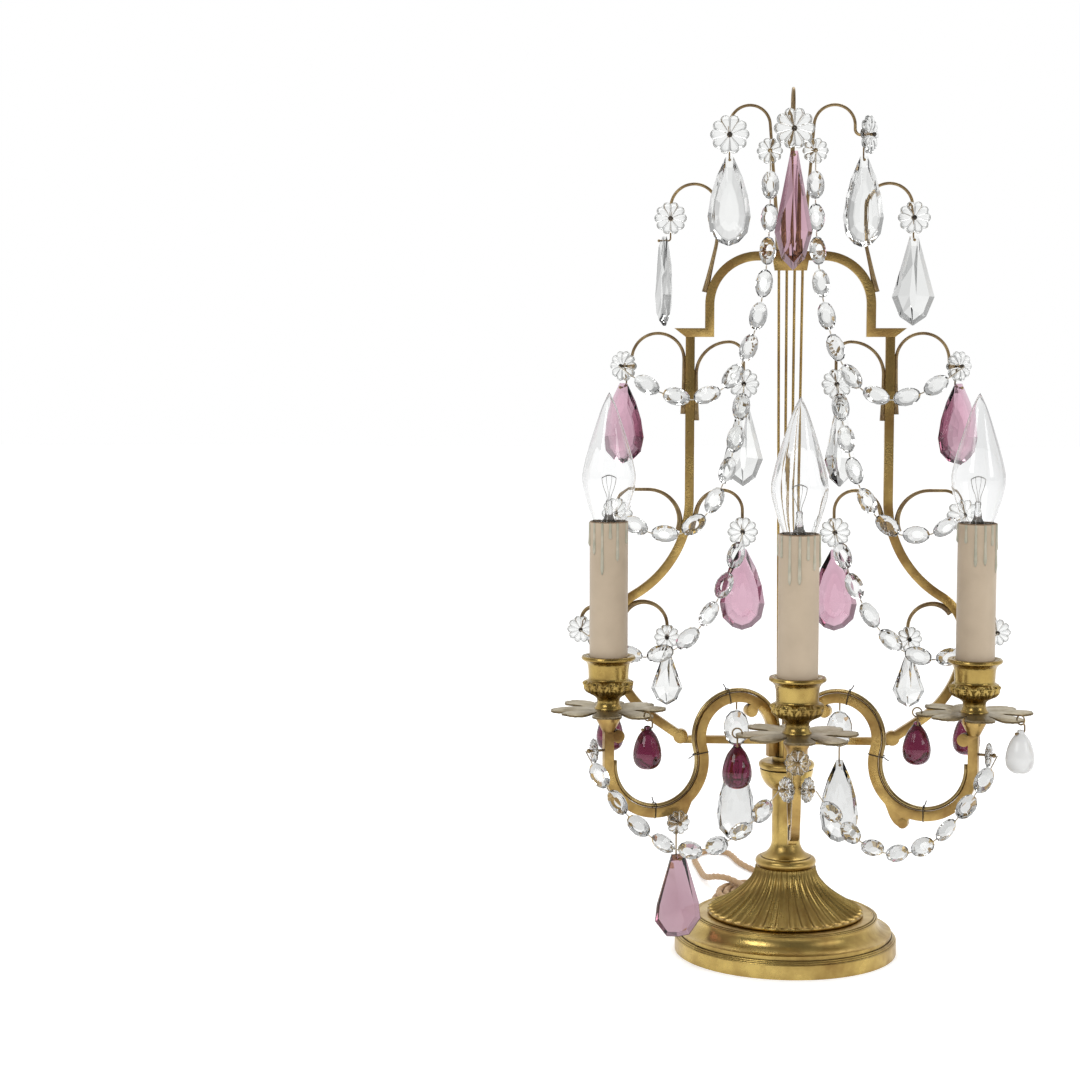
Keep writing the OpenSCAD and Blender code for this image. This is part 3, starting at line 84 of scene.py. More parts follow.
Point = tuple[float, float, float]
Colour = tuple[float, float, float]
Frame = dict[str, Any]


class Slot(Enum):
    """Material slots of the record."""

    GILT = "gilt_brass"
    DARK = "dark_brass"
    CRYSTAL = "crystal"
    AMETHYST = "amethyst"
    BULB = "bulb_glass"
    IVORY = "ivory"
    CORD = "cord_silk"
    PLUG = "plug_brown"


# Finishes


@dataclass(frozen=True)
class Metal:
    """A metal with blotches of tarnish, and painted shade that darkens its recesses to near black."""

    light: Colour
    dark: Colour
    # Colour of the painted shade that darkens recesses.
    recess_shade: Colour
    smooth: float
    rough: float
    blotch_scale: float
    grain: float


@dataclass(frozen=True)
class Glass:
    """A clear or tinted glass with faint streaks, darker where light runs a long way inside it."""

    tint: Colour
    streak: Colour
    ior: float
    haze: float
    depth: Colour = (1.0, 1.0, 1.0)
    density: float = 0.0
    clear: float = 1.0


@dataclass(frozen=True)
class Matte:
    """A dull surface with mottling and a fine grain."""

    base: Colour
    mottle: Colour
    roughness: float
    scale: float
    grain: float
    sheen: float = 0.0


# Each metal's third colour is its painted shade, mixed into its recesses.
METALS = {
    "gilt": Metal((0.56, 0.41, 0.132), (0.305, 0.193, 0.061), (0.045, 0.028, 0.011), 0.22, 0.42, 38.0, 0.25),
    "bar_gilt": Metal((0.49, 0.336, 0.115), (0.27, 0.157, 0.054), (0.05, 0.026, 0.012), 0.24, 0.44, 46.0, 0.3),
    "bright_gilt": Metal((0.445, 0.318, 0.098), (0.276, 0.178, 0.053), (0.05, 0.03, 0.011), 0.18, 0.34, 60.0,
                         0.2),
    "pan": Metal((0.42, 0.36, 0.24), (0.27, 0.22, 0.135), (0.09, 0.065, 0.035), 0.34, 0.52, 90.0, 0.35),
    "pan_edge": Metal((0.24, 0.18, 0.095), (0.12, 0.085, 0.045), (0.04, 0.026, 0.013), 0.4, 0.6, 120.0, 0.4),
    "wire": Metal((0.36, 0.26, 0.13), (0.17, 0.11, 0.06), (0.06, 0.04, 0.02), 0.35, 0.55, 90.0, 0.3),
    "tube": Metal((0.45, 0.34, 0.15), (0.26, 0.18, 0.075), (0.06, 0.04, 0.018), 0.2, 0.4, 60.0, 0.15),
    "pin": Metal((0.10, 0.085, 0.07), (0.04, 0.035, 0.03), (0.02, 0.02, 0.02), 0.4, 0.6, 200.0, 0.3),
    "thin_wire": Metal((0.62, 0.57, 0.48), (0.34, 0.28, 0.2), (0.1, 0.08, 0.06), 0.25, 0.45, 200.0, 0.2),
    "filament": Metal((0.70, 0.68, 0.64), (0.48, 0.46, 0.42), (0.2, 0.2, 0.2), 0.3, 0.5, 200.0, 0.1),
}
GLASSES = {
    "crystal": Glass((0.96, 0.965, 0.955), (0.93, 0.94, 0.93), 1.5, 0.01),
    "amethyst": Glass((0.91, 0.71, 0.80), (0.84, 0.60, 0.70), 1.5, 0.01, (0.58, 0.24, 0.38), 78.0),
    "plum": Glass((0.83, 0.60, 0.68), (0.75, 0.50, 0.59), 1.5, 0.01, (0.55, 0.25, 0.35), 60.0),
    "deep_amethyst": Glass((0.44, 0.13, 0.25), (0.30, 0.07, 0.15), 1.5, 0.015, (0.55, 0.10, 0.28), 110.0),
    "milk": Glass((0.92, 0.92, 0.91), (0.87, 0.87, 0.86), 1.5, 0.25, clear=0.45),
    "bulb": Glass((0.995, 0.997, 0.997), (0.985, 0.99, 0.99), 1.45, 0.003),
}
MATTES = {
    "ivory": Matte((0.486, 0.39, 0.281), (0.431, 0.342, 0.244), 0.42, 55.0, 0.12),
    # The drips' wax is darker and greener than the sleeves' ivory: painted shade on the drips.
    "wax_painted_shade": Matte((0.34, 0.34, 0.26), (0.49, 0.45, 0.356), 0.3, 160.0, 0.1),
    "silk": Matte((0.507, 0.322, 0.158), (0.37, 0.219, 0.096), 0.75, 900.0, 0.6, 0.2),
    "rim": Matte((0.274, 0.178, 0.103), (0.164, 0.103, 0.055), 0.5, 120.0, 0.2),
    "plug": Matte((0.10, 0.055, 0.03), (0.06, 0.03, 0.018), 0.38, 70.0, 0.15),
}


class Graph:
    """A node tree that is filled node by node."""

    def __init__(self, tree: bpy.types.NodeTree) -> None:
        self.tree = tree

    def add(self, kind: str, settings: dict[str, Any] | None = None, **inputs: Any) -> bpy.types.Node:
        """Adds a node, sets its properties and fills or links its inputs.

        Args:
            kind: The node's type name.
            settings: Properties of the node.
            inputs: Values or output sockets, by input name with _ for a space.

        Returns:
            The new node.
        """
        node = self.tree.nodes.new(kind)
        for name, value in (settings or {}).items():
            setattr(node, name, value)
        for name, value in inputs.items():
            self.fill(node, name.replace("_", " "), value)
        return node

    def fill(self, node: bpy.types.Node, name: str | int, value: Any) -> None:
        """Sets an input, or links it where the value is a socket.

        Args:
            node: The node.
            name: The input's name or number.
            value: A number, a colour or an output socket.
        """
        if isinstance(value, bpy.types.NodeSocket):
            self.tree.links.new(value, node.inputs[name])
        elif isinstance(value, tuple) and len(value) == 3 and node.inputs[name].type == "RGBA":
            node.inputs[name].default_value = (*value, 1.0)
        else:
            node.inputs[name].default_value = value

    def mix(self, factor: Any, low: Any, high: Any) -> bpy.types.NodeSocket:
        """Mixes two colours.

        Args:
            factor: Share of the second colour.
            low: First colour.
            high: Second colour.

        Returns:
            The mixed colour's socket.
        """
        node = self.tree.nodes.new("ShaderNodeMix")
        node.data_type = "RGBA"
        self.fill(node, 0, factor)
        self.fill(node, 6, low)
        self.fill(node, 7, high)
        return node.outputs[2]

    def math(self, operation: str, *values: Any) -> bpy.types.NodeSocket:
        """Works out a number.

        Args:
            operation: What is done with the values.
            values: Numbers or output sockets.

        Returns:
            The result's socket.
        """
        node = self.add("ShaderNodeMath", {"operation": operation})
        for number, value in enumerate(values):
            self.fill(node, number, value)
        return node.outputs["Value"]

    def ramp(self, value: Any, low: float, high: float, to_low: float = 0.0,
             to_high: float = 1.0) -> bpy.types.NodeSocket:
        """Maps a value from one range to another, clamped.

        Args:
            value: The value's socket.
            low: Start of the range.
            high: End of the range.
            to_low: Result at the start.
            to_high: Result at the end.

        Returns:
            The mapped value's socket.
        """
        node = self.add("ShaderNodeMapRange")
        for number, item in enumerate((value, low, high, to_low, to_high)):
            self.fill(node, number, item)
        return node.outputs[0]


def new_group(name: str, inputs: dict[str, float],
              outputs: dict[str, str]) -> tuple[Graph, bpy.types.Node, bpy.types.Node]:
    """Starts a shader node group.

    Args:
        name: The group's name.
        inputs: Float inputs with their defaults.
        outputs: Output names with their socket types.

    Returns:
        The group's graph, its input node and its output node.
    """
    tree = bpy.data.node_groups.new(name, "ShaderNodeTree")
    for key, value in inputs.items():
        tree.interface.new_socket(key, in_out="INPUT", socket_type="NodeSocketFloat").default_value = value
    for key, kind in outputs.items():
        tree.interface.new_socket(key, in_out="OUTPUT", socket_type=kind)
    graph = Graph(tree)
    return graph, graph.add("NodeGroupInput"), graph.add("NodeGroupOutput")


def tarnish_and_shade_group() -> bpy.types.NodeTree:
    """Makes the group that gives blotches, painted shade in recesses (from ambient occlusion) and a fine
    grain.

    Returns:
        The group.
    """
    graph, source, sink = new_group(
        "tarnish_and_shade", {"Scale": 40.0, "Grain": 0.2},
        {"Blotch": "NodeSocketFloat", "Painted Shade": "NodeSocketFloat", "Normal": "NodeSocketVector"})
    place = graph.add("ShaderNodeTexCoord").outputs["Object"]
    scale, grain = source.outputs["Scale"], source.outputs["Grain"]
    cloud = graph.add("ShaderNodeTexNoise", Vector=place, Scale=scale, Detail=6.0, Roughness=0.6)
    fine = graph.add("ShaderNodeTexNoise", Vector=place, Scale=900.0, Detail=3.0)
    # Ambient occlusion darkens recesses: painted shade.
    corner = graph.add("ShaderNodeAmbientOcclusion", {"samples": 6, "only_local": True}, Distance=0.004)
    bump = graph.add("ShaderNodeBump", Strength=grain, Distance=0.0003, Height=fine.outputs["Fac"])
    graph.fill(sink, "Blotch", graph.ramp(cloud.outputs["Fac"], 0.36, 0.68))
    graph.fill(sink, "Painted Shade", graph.ramp(corner.outputs["AO"], 0.35, 0.95, 1.0, 0.0))
    graph.fill(sink, "Normal", bump.outputs["Normal"])
    return graph.tree


def cloud_group() -> bpy.types.NodeTree:
    """Makes the group that gives soft mottling and a fine grain.

    Returns:
        The group.
    """
    graph, source, sink = new_group(
        "cloud", {"Scale": 60.0, "Grain": 0.1}, {"Mottle": "NodeSocketFloat", "Normal": "NodeSocketVector"})
    place = graph.add("ShaderNodeTexCoord").outputs["Object"]
    scale, grain = source.outputs["Scale"], source.outputs["Grain"]
    cloud = graph.add("ShaderNodeTexNoise", Vector=place, Scale=scale, Detail=5.0)
    fine = graph.add("ShaderNodeTexNoise", Vector=place, Scale=1400.0, Detail=2.0)
    bump = graph.add("ShaderNodeBump", Strength=grain, Distance=0.0002, Height=fine.outputs["Fac"])
    graph.fill(sink, "Mottle", graph.ramp(cloud.outputs["Fac"], 0.35, 0.7))
    graph.fill(sink, "Normal", bump.outputs["Normal"])
    return graph.tree


class Finishes:
    """Builds each material once."""

    def __init__(self) -> None:
        self.tarnish_and_shade = tarnish_and_shade_group()
        self.cloud = cloud_group()
        self.made: dict[str, bpy.types.Material] = {}

    def __getitem__(self, name: str) -> bpy.types.Material:
        """Gives a material by its name.

        Args:
            name: A key of METALS, GLASSES or MATTES.

        Returns:
            The material.
        """
        if name not in self.made:
            material = bpy.data.materials.new(name)
            material.use_nodes = True
            graph = Graph(material.node_tree)
            shader = material.node_tree.nodes["Principled BSDF"]
            if name in METALS:
                self._metal(graph, shader, METALS[name])
            elif name in GLASSES:
                self._glass(graph, shader, GLASSES[name])
            else:
                self._matte(graph, shader, MATTES[name])
            self.made[name] = material
        return self.made[name]

    def _metal(self, graph: Graph, shader: bpy.types.Node, look: Metal) -> None:
        blotch_and_shade = graph.add("ShaderNodeGroup", {"node_tree": self.tarnish_and_shade}, Scale=look.blotch_scale,
                         Grain=look.grain)
        worn = graph.mix(blotch_and_shade.outputs["Blotch"], look.light, look.dark)
        # Recesses are mixed towards the painted shade colour.
        graph.fill(shader, "Base Color", graph.mix(blotch_and_shade.outputs["Painted Shade"], worn, look.recess_shade))
        graph.fill(shader, "Roughness", graph.ramp(blotch_and_shade.outputs["Blotch"], 0.0, 1.0, look.smooth, look.rough))
        graph.fill(shader, "Normal", blotch_and_shade.outputs["Normal"])
        shader.inputs["Metallic"].default_value = 1.0

    def _glass(self, graph: Graph, shader: bpy.types.Node, look: Glass) -> None:
        cloud = graph.add("ShaderNodeGroup", {"node_tree": self.cloud}, Scale=30.0, Grain=0.0)
        graph.fill(shader, "Base Color", graph.mix(cloud.outputs["Mottle"], look.tint, look.streak))
        graph.fill(shader, "Roughness", graph.ramp(cloud.outputs["Mottle"], 0.0, 1.0, 0.0, look.haze))
        shader.inputs["Transmission Weight"].default_value = look.clear
        shader.inputs["IOR"].default_value = look.ior
        if look.density:
            inside = graph.add("ShaderNodeVolumeAbsorption", Color=look.depth, Density=look.density)
            graph.fill(graph.tree.nodes["Material Output"], "Volume", inside.outputs["Volume"])

    def _matte(self, graph: Graph, shader: bpy.types.Node, look: Matte) -> None:
        cloud = graph.add("ShaderNodeGroup", {"node_tree": self.cloud}, Scale=look.scale, Grain=look.grain)
        graph.fill(shader, "Base Color", graph.mix(cloud.outputs["Mottle"], look.base, look.mottle))
        graph.fill(shader, "Normal", cloud.outputs["Normal"])
        shader.inputs["Roughness"].default_value = look.roughness
        shader.inputs["Sheen Weight"].default_value = look.sheen


# Meshes


class MeshMaker:
    """Collects vertices and faces of one piece, in metres."""

    def __init__(self) -> None:
        self.points: list[Point] = []
        self.faces: list[tuple[int, ...]] = []

    def loft(self, rings: Sequence[Sequence[Sequence[float]]], closed_ends: bool = True) -> None:
        """Joins rings of equally many points into a skin.

        Args:
            rings: The rings, in order along the piece.
            closed_ends: Whether the first and last ring get a face.
        """
        start, n = len(self.points), len(rings[0])
        for ring in rings:
            self.points.extend(tuple(p) for p in ring)
        for i in range(len(rings) - 1):
            for k in range(n):
                a, b = start + i * n + k, start + i * n + (k + 1) % n
                self.faces.append((a, b, b + n, a + n))
        if closed_ends:
            last = start + (len(rings) - 1) * n
            self.faces.append(tuple(range(start + n - 1, start - 1, -1)))
            self.faces.append(tuple(range(last, last + n)))

    def build(self, name: str, material: bpy.types.Material, smooth: bool = True) -> bpy.types.Object:
        """Makes the object.

        Args:
            name: The piece's name.
            material: Its material.
            smooth: Whether faces are shaded smooth.

        Returns:
            The object, linked to the scene.
        """
        mesh = bpy.data.meshes.new(name)
        mesh.from_pydata(self.points, [], self.faces)
        clean = bmesh.new()
        clean.from_mesh(mesh)
        bmesh.ops.recalc_face_normals(clean, faces=clean.faces)
        clean.to_mesh(mesh)
        clean.free()
        mesh.polygons.foreach_set("use_smooth", [smooth] * len(mesh.polygons))
        mesh.materials.append(material)
        piece = bpy.data.objects.new(name, mesh)
        bpy.context.scene.collection.objects.link(piece)
        return piece


def settle(piece: bpy.types.Object, body: str = ROOT,
           nodes: Iterable[str] = ()) -> bpy.types.Object:
    """Puts a piece on its body.

    Args:
        piece: The piece.
        body: The CAD body that carries it.
        nodes: CAD nodes that it stands for.

    Returns:
        The piece.
    """
    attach(piece, body)
    if nodes:
        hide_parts(*nodes)
    return piece


@dataclass
class Island:
    """One closed solid of a node: its middle, its long, middle and thin axes, and half sizes."""

    centre: Vector
    axes: tuple[Vector, Vector, Vector]
    half: tuple[float, float, float]


def islands(node: bpy.types.Object) -> list[Island]:
    """Finds the separate solids of a CAD node.

    Args:
        node: The node's object.

    Returns:
        One island per solid, from the lowest to the highest.
    """
    copy = bmesh.new()
    copy.from_mesh(node.data)
    bmesh.ops.remove_doubles(copy, verts=copy.verts, dist=1e-6)
    seen: set[bmesh.types.BMVert] = set()
    found: list[Island] = []
    for first in copy.verts:
        if first in seen:
            continue
        seen.add(first)
        stack, group = [first], []
        while stack:
            vert = stack.pop()
            group.append(tuple(node.matrix_world @ vert.co))
            for edge in vert.link_edges:
                other = edge.other_vert(vert)
                if other not in seen:
                    seen.add(other)
                    stack.append(other)
        cloud = np.array(group)
        middle = (cloud.max(axis=0) + cloud.min(axis=0)) / 2
        _, vectors = np.linalg.eigh(np.cov((cloud - cloud.mean(axis=0)).T))
        along = (cloud - middle) @ vectors
        spread = along.max(axis=0) - along.min(axis=0)
        centre = middle + vectors @ ((along.max(axis=0) + along.min(axis=0)) / 2)
        order = np.argsort(-spread)
        axes = tuple(Vector(vectors[:, k]) for k in order)
        found.append(Island(Vector(centre), axes, tuple(float(spread[k]) / 2 for k in order)))
    copy.free()
    return sorted(found, key=lambda item: (round(item.centre.z, 5), round(item.centre.x, 5)))


def catmull(points: Sequence[Sequence[float]], steps: int) -> list[Vector]:
    """Runs a smooth curve through points, as the part's source does.

    Args:
        points: The route's points.
        steps: Steps per span.

    Returns:
        The curve's points, in the same unit.
    """
    route = [Vector(p) for p in points]
    last = len(route) - 1
    curve: list[Vector] = []
    for i in range(last):
        a, b, c, d = route[max(i - 1, 0)], route[i], route[i + 1], route[min(i + 2, last)]
        for k in range(steps):
            t = k / steps
            curve.append(0.5 * (2 * b + (c - a) * t + (2 * a - 5 * b + 4 * c - d) * t * t
                                + (3 * b - a - 3 * c + d) * t ** 3))
    return curve + [route[last]]


def smooth_profile(profile: Iterable[tuple[float, float]], steps: int) -> list[tuple[float, float]]:
    """Runs a smooth curve through a flat profile.

    Args:
        profile: Its points.
        steps: Steps per span.

    Returns:
        The curve's points.
    """
    return [(p.x, p.y) for p in catmull([(x, y, 0.0) for x, y in profile], steps)]


def squarish(angle: float, power: float) -> tuple[float, float]:
    """Gives a point of a square with round corners.

    Args:
        angle: Where the point lies, in radians.
        power: How square it is: 1 for a circle, less for squarer.

    Returns:
        The point, from -1 to 1 each way.
    """
    x, y = (math.copysign(abs(v) ** power, v) for v in (math.cos(angle), math.sin(angle)))
    return x, y


def oval(centre: Vector, a: Vector, b: Vector, sides: int) -> list[Vector]:
    """Gives the points of an oval.

    Args:
        centre: Its middle, in metres.
        a: Its first half axis.
        b: Its second half axis.
        sides: How many points it has.

    Returns:
        The points, from the end of the first half axis on.
    """
    angles = [2 * math.pi * k / sides for k in range(sides)]
    return [centre + a * math.cos(angle) + b * math.sin(angle) for angle in angles]


def lathe(profile: Sequence[Sequence[float]], centre: Sequence[float], segments: int = 96,
          relief: Callable[[float, float], float] | None = None) -> list[list[Point]]:
    """Turns a profile about the upright axis through a centre.

    Args:
        profile: Radius and height pairs in millimetres.
        centre: The axis, in metres.
        segments: Points round each ring.
        relief: Extra radius in millimetres, by angle and by height.

    Returns:
        The rings, in metres.
    """
    rings = []
    for radius, height in profile:
        ring = []
        for k in range(segments):
            angle = 2 * math.pi * k / segments
            r = radius + (relief(angle, height) if relief else 0.0)
            x, y = centre[0] + r * MM * math.cos(angle), centre[1] + r * MM * math.sin(angle)
            ring.append((x, y, height * MM))
        rings.append(ring)
    return rings


def sweep(maker: MeshMaker, route: Sequence[Vector], radius: Callable[[float], float], sides: int = 10,
          shape: Callable[[float, float], float] | None = None) -> None:
    """Sweeps a round section along a route without twisting it.

    Args:
        maker: Takes the skin.
        route: Points in metres.
        radius: Radius in metres by distance along the route.
        sides: Points round the section.
        shape: Factor on the radius by angle and by distance.
    """
    heading = (route[1] - route[0]).normalized()
    side = heading.orthogonal().normalized()
    rings, distance = [], 0.0
    for i, point in enumerate(route):
        ahead = (route[min(i + 1, len(route) - 1)] - route[max(i - 1, 0)]).normalized()
        side = (heading.rotation_difference(ahead) @ side).normalized()
        heading = ahead
        other = heading.cross(side)
        if i:
            distance += (point - route[i - 1]).length
        ring = []
        for k in range(sides):
            angle = 2 * math.pi * k / sides
            r = radius(distance) * (shape(angle, distance) if shape else 1.0)
            ring.append(tuple(point + r * (math.cos(angle) * side + math.sin(angle) * other)))
        rings.append(ring)
    maker.loft(rings)


def hoop(maker: MeshMaker, loop: Sequence[Vector], rod: float, sides: int = 8) -> None:
    """Adds a round rod along a closed loop.

    Args:
        maker: Takes the skin.
        loop: Its points, in metres, each given once.
        rod: The rod's radius, in metres.
        sides: Points round the rod.
    """
    sweep(maker, [*loop, loop[0]], lambda s: rod, sides)


def ball(maker: MeshMaker, centre: Vector, radius: float, rings: int = 7, sides: int = 12) -> None:
    """Adds a small ball.

    Args:
        maker: Takes the skin.
        centre: Its middle, in metres.
        radius: Its radius, in metres.
        rings: Rings from pole to pole.
        sides: Points round each ring.
    """
    polars = [math.pi * (i + 0.5) / rings for i in range(rings)]
    maker.loft([oval(centre - UP * radius * math.cos(polar), ACROSS * radius * math.sin(polar),
                     BACK * radius * math.sin(polar), sides) for polar in polars])


def smooth_group() -> bpy.types.NodeTree:
    """Makes the geometry group that smooths faces which meet at a small angle.

    Returns:
        The group.
    """
    tree = bpy.data.node_groups.new("smooth_by_angle", "GeometryNodeTree")
    tree.is_modifier = True
    for way in ("INPUT", "OUTPUT"):
        tree.interface.new_socket("Geometry", in_out=way, socket_type="NodeSocketGeometry")
    graph = Graph(tree)
    source, sink = graph.add("NodeGroupInput"), graph.add("NodeGroupOutput")
    faces = graph.add("GeometryNodeSetShadeSmooth", {"domain": "FACE"})
    edges = graph.add("GeometryNodeSetShadeSmooth", {"domain": "EDGE"})
    small = graph.add("FunctionNodeCompare", {"data_type": "FLOAT", "operation": "LESS_THAN"})
    graph.fill(small, 0, graph.add("GeometryNodeInputMeshEdgeAngle").outputs["Unsigned Angle"])
    graph.fill(small, 1, SMOOTH_BELOW)
    graph.fill(faces, 0, source.outputs[0])
    graph.fill(edges, 0, faces.outputs[0])
    graph.fill(edges, "Shade Smooth", small.outputs[0])
    graph.fill(sink, 0, edges.outputs[0])
    return tree


def soften_bars(frame: Frame, names: Iterable[str], width: float = 0.0006) -> None:
    """Rounds the edges of flat bars.

    Args:
        frame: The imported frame.
        names: The bars' nodes.
        width: Width of the rounding, in metres.
    """
    group = smooth_group()
    for name in names:
        stack = frame["nodes"][name].modifiers
        stack.new("weld", "WELD").merge_threshold = 0.00001
        edges = stack.new("edges", "BEVEL")
        edges.width, edges.segments = width, 3
        edges.limit_method, edges.angle_limit = "ANGLE", BEVEL_ABOVE
        stack.new("smooth", "NODES").node_group = group


# Stage


@dataclass(frozen=True)
class Shot:
    """The camera, as it stood to the holder."""

    lens: float = 75.0
    sensor: float = 36.0
    down: float = math.radians(5.4)
    turn: float = math.radians(3.5)
    height: float = 0.392
    distance: float = 1.395
    aside: float = -0.155

    def build(self) -> bpy.types.Object:
        """Makes the camera.

        Returns:
            The camera object.
        """
        data = bpy.data.cameras.new("camera")
        data.lens, data.sensor_width, data.clip_start = self.lens, self.sensor, 0.05
        camera = bpy.data.objects.new("camera", data)
        turned = Matrix.Rotation(self.turn, 3, "Z")
        camera.location = turned @ Vector((self.aside, -self.distance, self.height))
        camera.rotation_euler = (math.pi / 2 - self.down, 0.0, self.turn)
        bpy.context.scene.collection.objects.link(camera)
        bpy.context.scene.camera = camera
        return camera


@dataclass(frozen=True)
class Softbox:
    """An area light that faces the holder."""

    place: Point
    size: float
    power: float


class Ramp(NamedTuple):
    """A range of a direction or a place, and the light at its two ends."""

    low: float
    high: float
    to_low: float
    to_high: float


@dataclass(frozen=True)
class Studio:
    """White room, pale floor and soft lights."""

    boxes: tuple[Softbox, ...] = (
        Softbox((-1.1, -1.3, 1.25), 0.9, 9.5),
        Softbox((1.3, -0.9, 0.8), 0.7, 4.4),
        Softbox((0.1, 0.9, 1.5), 0.8, 5.8),
    )
    aim: Point = (0.0, 0.0, 0.26)
    mirrored: Ramp = Ramp(-0.35, 0.3, 0.2, 1.0)
    fill: Ramp = Ramp(-0.9, 0.9, 0.66, 0.95)
    behind_glass: Ramp = Ramp(0.88, 0.997, 0.4, 1.0)
    wall_foot: Ramp = Ramp(-0.06, 0.06, 0.88, 1.0)
    floor_half: float = 6.0
    floor_tone: Colour = (0.96, 0.96, 0.96)
    # Painted light on the floor, seen only through glass: painted shade near the holder, in front of it and
    # far to the sides, brighter far behind it.
    painted_floor_light_aside: Ramp = Ramp(0.4, 1.6, 1.0, 0.45)
    painted_floor_light_depth: Ramp = Ramp(0.05, 2.5, 0.36, 0.97)
    floor_lift: float = 0.3

    def build(self) -> None:
        """Makes the world, the floor and the lights."""
        self._world()
        self._floor()
        for number, box in enumerate(self.boxes):
            data = bpy.data.lights.new(f"softbox_{number}", "AREA")
            data.size, data.energy = box.size, box.power
            light = bpy.data.objects.new(f"softbox_{number}", data)
            light.location = box.place
            light.rotation_euler = (Vector(self.aim) - Vector(box.place)).to_track_quat("-Z", "Y").to_euler()
            bpy.context.scene.collection.objects.link(light)

    def _world(self) -> None:
        world = bpy.data.worlds.new("white_room")
        world.use_nodes = True
        bpy.context.scene.world = world
        graph = Graph(world.node_tree)
        sky = world.node_tree.nodes["Background"]
        way = graph.add("ShaderNodeSeparateXYZ", Vector=graph.add("ShaderNodeTexCoord").outputs["Generated"])
        mirrored = graph.ramp(way.outputs["Y"], *self.mirrored)
        wall = graph.math("MULTIPLY", graph.ramp(way.outputs["Y"], *self.behind_glass),
                          graph.ramp(way.outputs["Z"], *self.wall_foot))
        path = graph.add("ShaderNodeLightPath")
        bent_light = graph.mix(path.outputs["Is Transmission Ray"], mirrored, wall)
        seen = graph.mix(path.outputs["Is Camera Ray"], bent_light, (1.0, 1.0, 1.0))
        fill = graph.ramp(way.outputs["X"], *self.fill)
        graph.fill(sky, "Color", graph.mix(path.outputs["Is Diffuse Ray"], seen, fill))

    def _floor(self) -> None:
        maker = MeshMaker()
        h = self.floor_half
        maker.points = [(-h, -h, 0.0), (h, -h, 0.0), (h, h, 0.0), (-h, h, 0.0)]
        maker.faces = [(0, 1, 2, 3)]
        material = bpy.data.materials.new("pale_floor")
        material.use_nodes = True
        graph = Graph(material.node_tree)
        shader = material.node_tree.nodes["Principled BSDF"]
        place = graph.add("ShaderNodeSeparateXYZ", Vector=graph.add("ShaderNodeTexCoord").outputs["Object"])
        aside = graph.math("ABSOLUTE", place.outputs["X"])
        # Seen through glass, the floor gets a painted pool of light far behind the holder, with painted shade
        # near it and far to the sides.
        painted_light_pool = graph.math("MULTIPLY", graph.ramp(aside, *self.painted_floor_light_aside),
                          graph.ramp(place.outputs["Y"], *self.painted_floor_light_depth))
        path = graph.add("ShaderNodeLightPath")
        through = path.outputs["Is Transmission Ray"]
        seen = graph.math("MAXIMUM", path.outputs["Is Camera Ray"], path.outputs["Is Glossy Ray"])
        seen = graph.math("MAXIMUM", seen, through)
        graph.fill(shader, "Base Color", graph.mix(through, self.floor_tone, painted_light_pool))
        graph.fill(shader, "Emission Strength", graph.ramp(seen, 0.0, 1.0, 0.0, self.floor_lift))
        shader.inputs["Emission Color"].default_value = (1.0, 1.0, 1.0, 1.0)
        shader.inputs["Roughness"].default_value = 0.8
        maker.build("floor", material, smooth=False)


# Work on the pieces


@dataclass
class Work:
    """The making of one kind of piece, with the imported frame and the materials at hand."""

    frame: Frame
    finishes: Finishes

    def node(self, name: str) -> bpy.types.Object:
        """Gives a CAD node.

        Args:
            name: The node's name.

        Returns:
            Its object.
        """
        return self.frame["nodes"][name]

    def build(self) -> None:
        """Makes the pieces."""
        raise NotImplementedError


# Wire work


@dataclass(frozen=True)
class Line:
    """A straight run of wire, in millimetres."""

    length: float


@dataclass(frozen=True)
class Arc:
    """A bend of wire: left turns are positive, in degrees."""

    radius: float
    degrees: float


@dataclass(frozen=True)
class Roll:
    """Turns the plane of the bends that follow, in degrees."""

    degrees: float


Bend = Line | Arc | Roll


def bent(start: Vector, heading: Vector, left: Vector, path: Sequence[Bend],
         step: float = 6.0) -> list[Vector]:
    """Follows a wire through its bends.

    Args:
        start: Where it starts, in millimetres.
        heading: Its direction there.
        left: The side that left turns lead to.
        path: Its runs and bends.
        step: Degrees between points on a bend.

    Returns:
        Points in metres.
    """
    at, points = start.copy(), [start.copy()]
    for part in path:
        if isinstance(part, Line):
            count = max(1, int(part.length // 4))
            points += [at + heading * part.length * k / count for k in range(1, count + 1)]
            at = points[-1]
        elif isinstance(part, Roll):
            left = Matrix.Rotation(math.radians(part.degrees), 3, heading) @ left
        else:
            axis, middle = heading.cross(left), at + left * math.copysign(part.radius, part.degrees)
            count = max(2, math.ceil(abs(part.degrees) / step))
            turns = [Matrix.Rotation(math.radians(part.degrees * k / count), 3, axis)
                     for k in range(1, count + 1)]
            points += [middle + turn @ (at - middle) for turn in turns]
            at, heading, left = points[-1], turns[-1] @ heading, turns[-1] @ left
    return [p * MM for p in points]


@dataclass(frozen=True)
class Hook:
    """A hook's root on the right-hand half of the lyre, its heading and its path."""

    x: float
    z: float
    heading: float
    path: tuple[Bend, ...]


@dataclass(frozen=True)
class Stalk:
    """One use of a hook: its side, the turn of its rosette and the run behind it."""

    hook: Hook
    side: int
    turn: float
    run: float


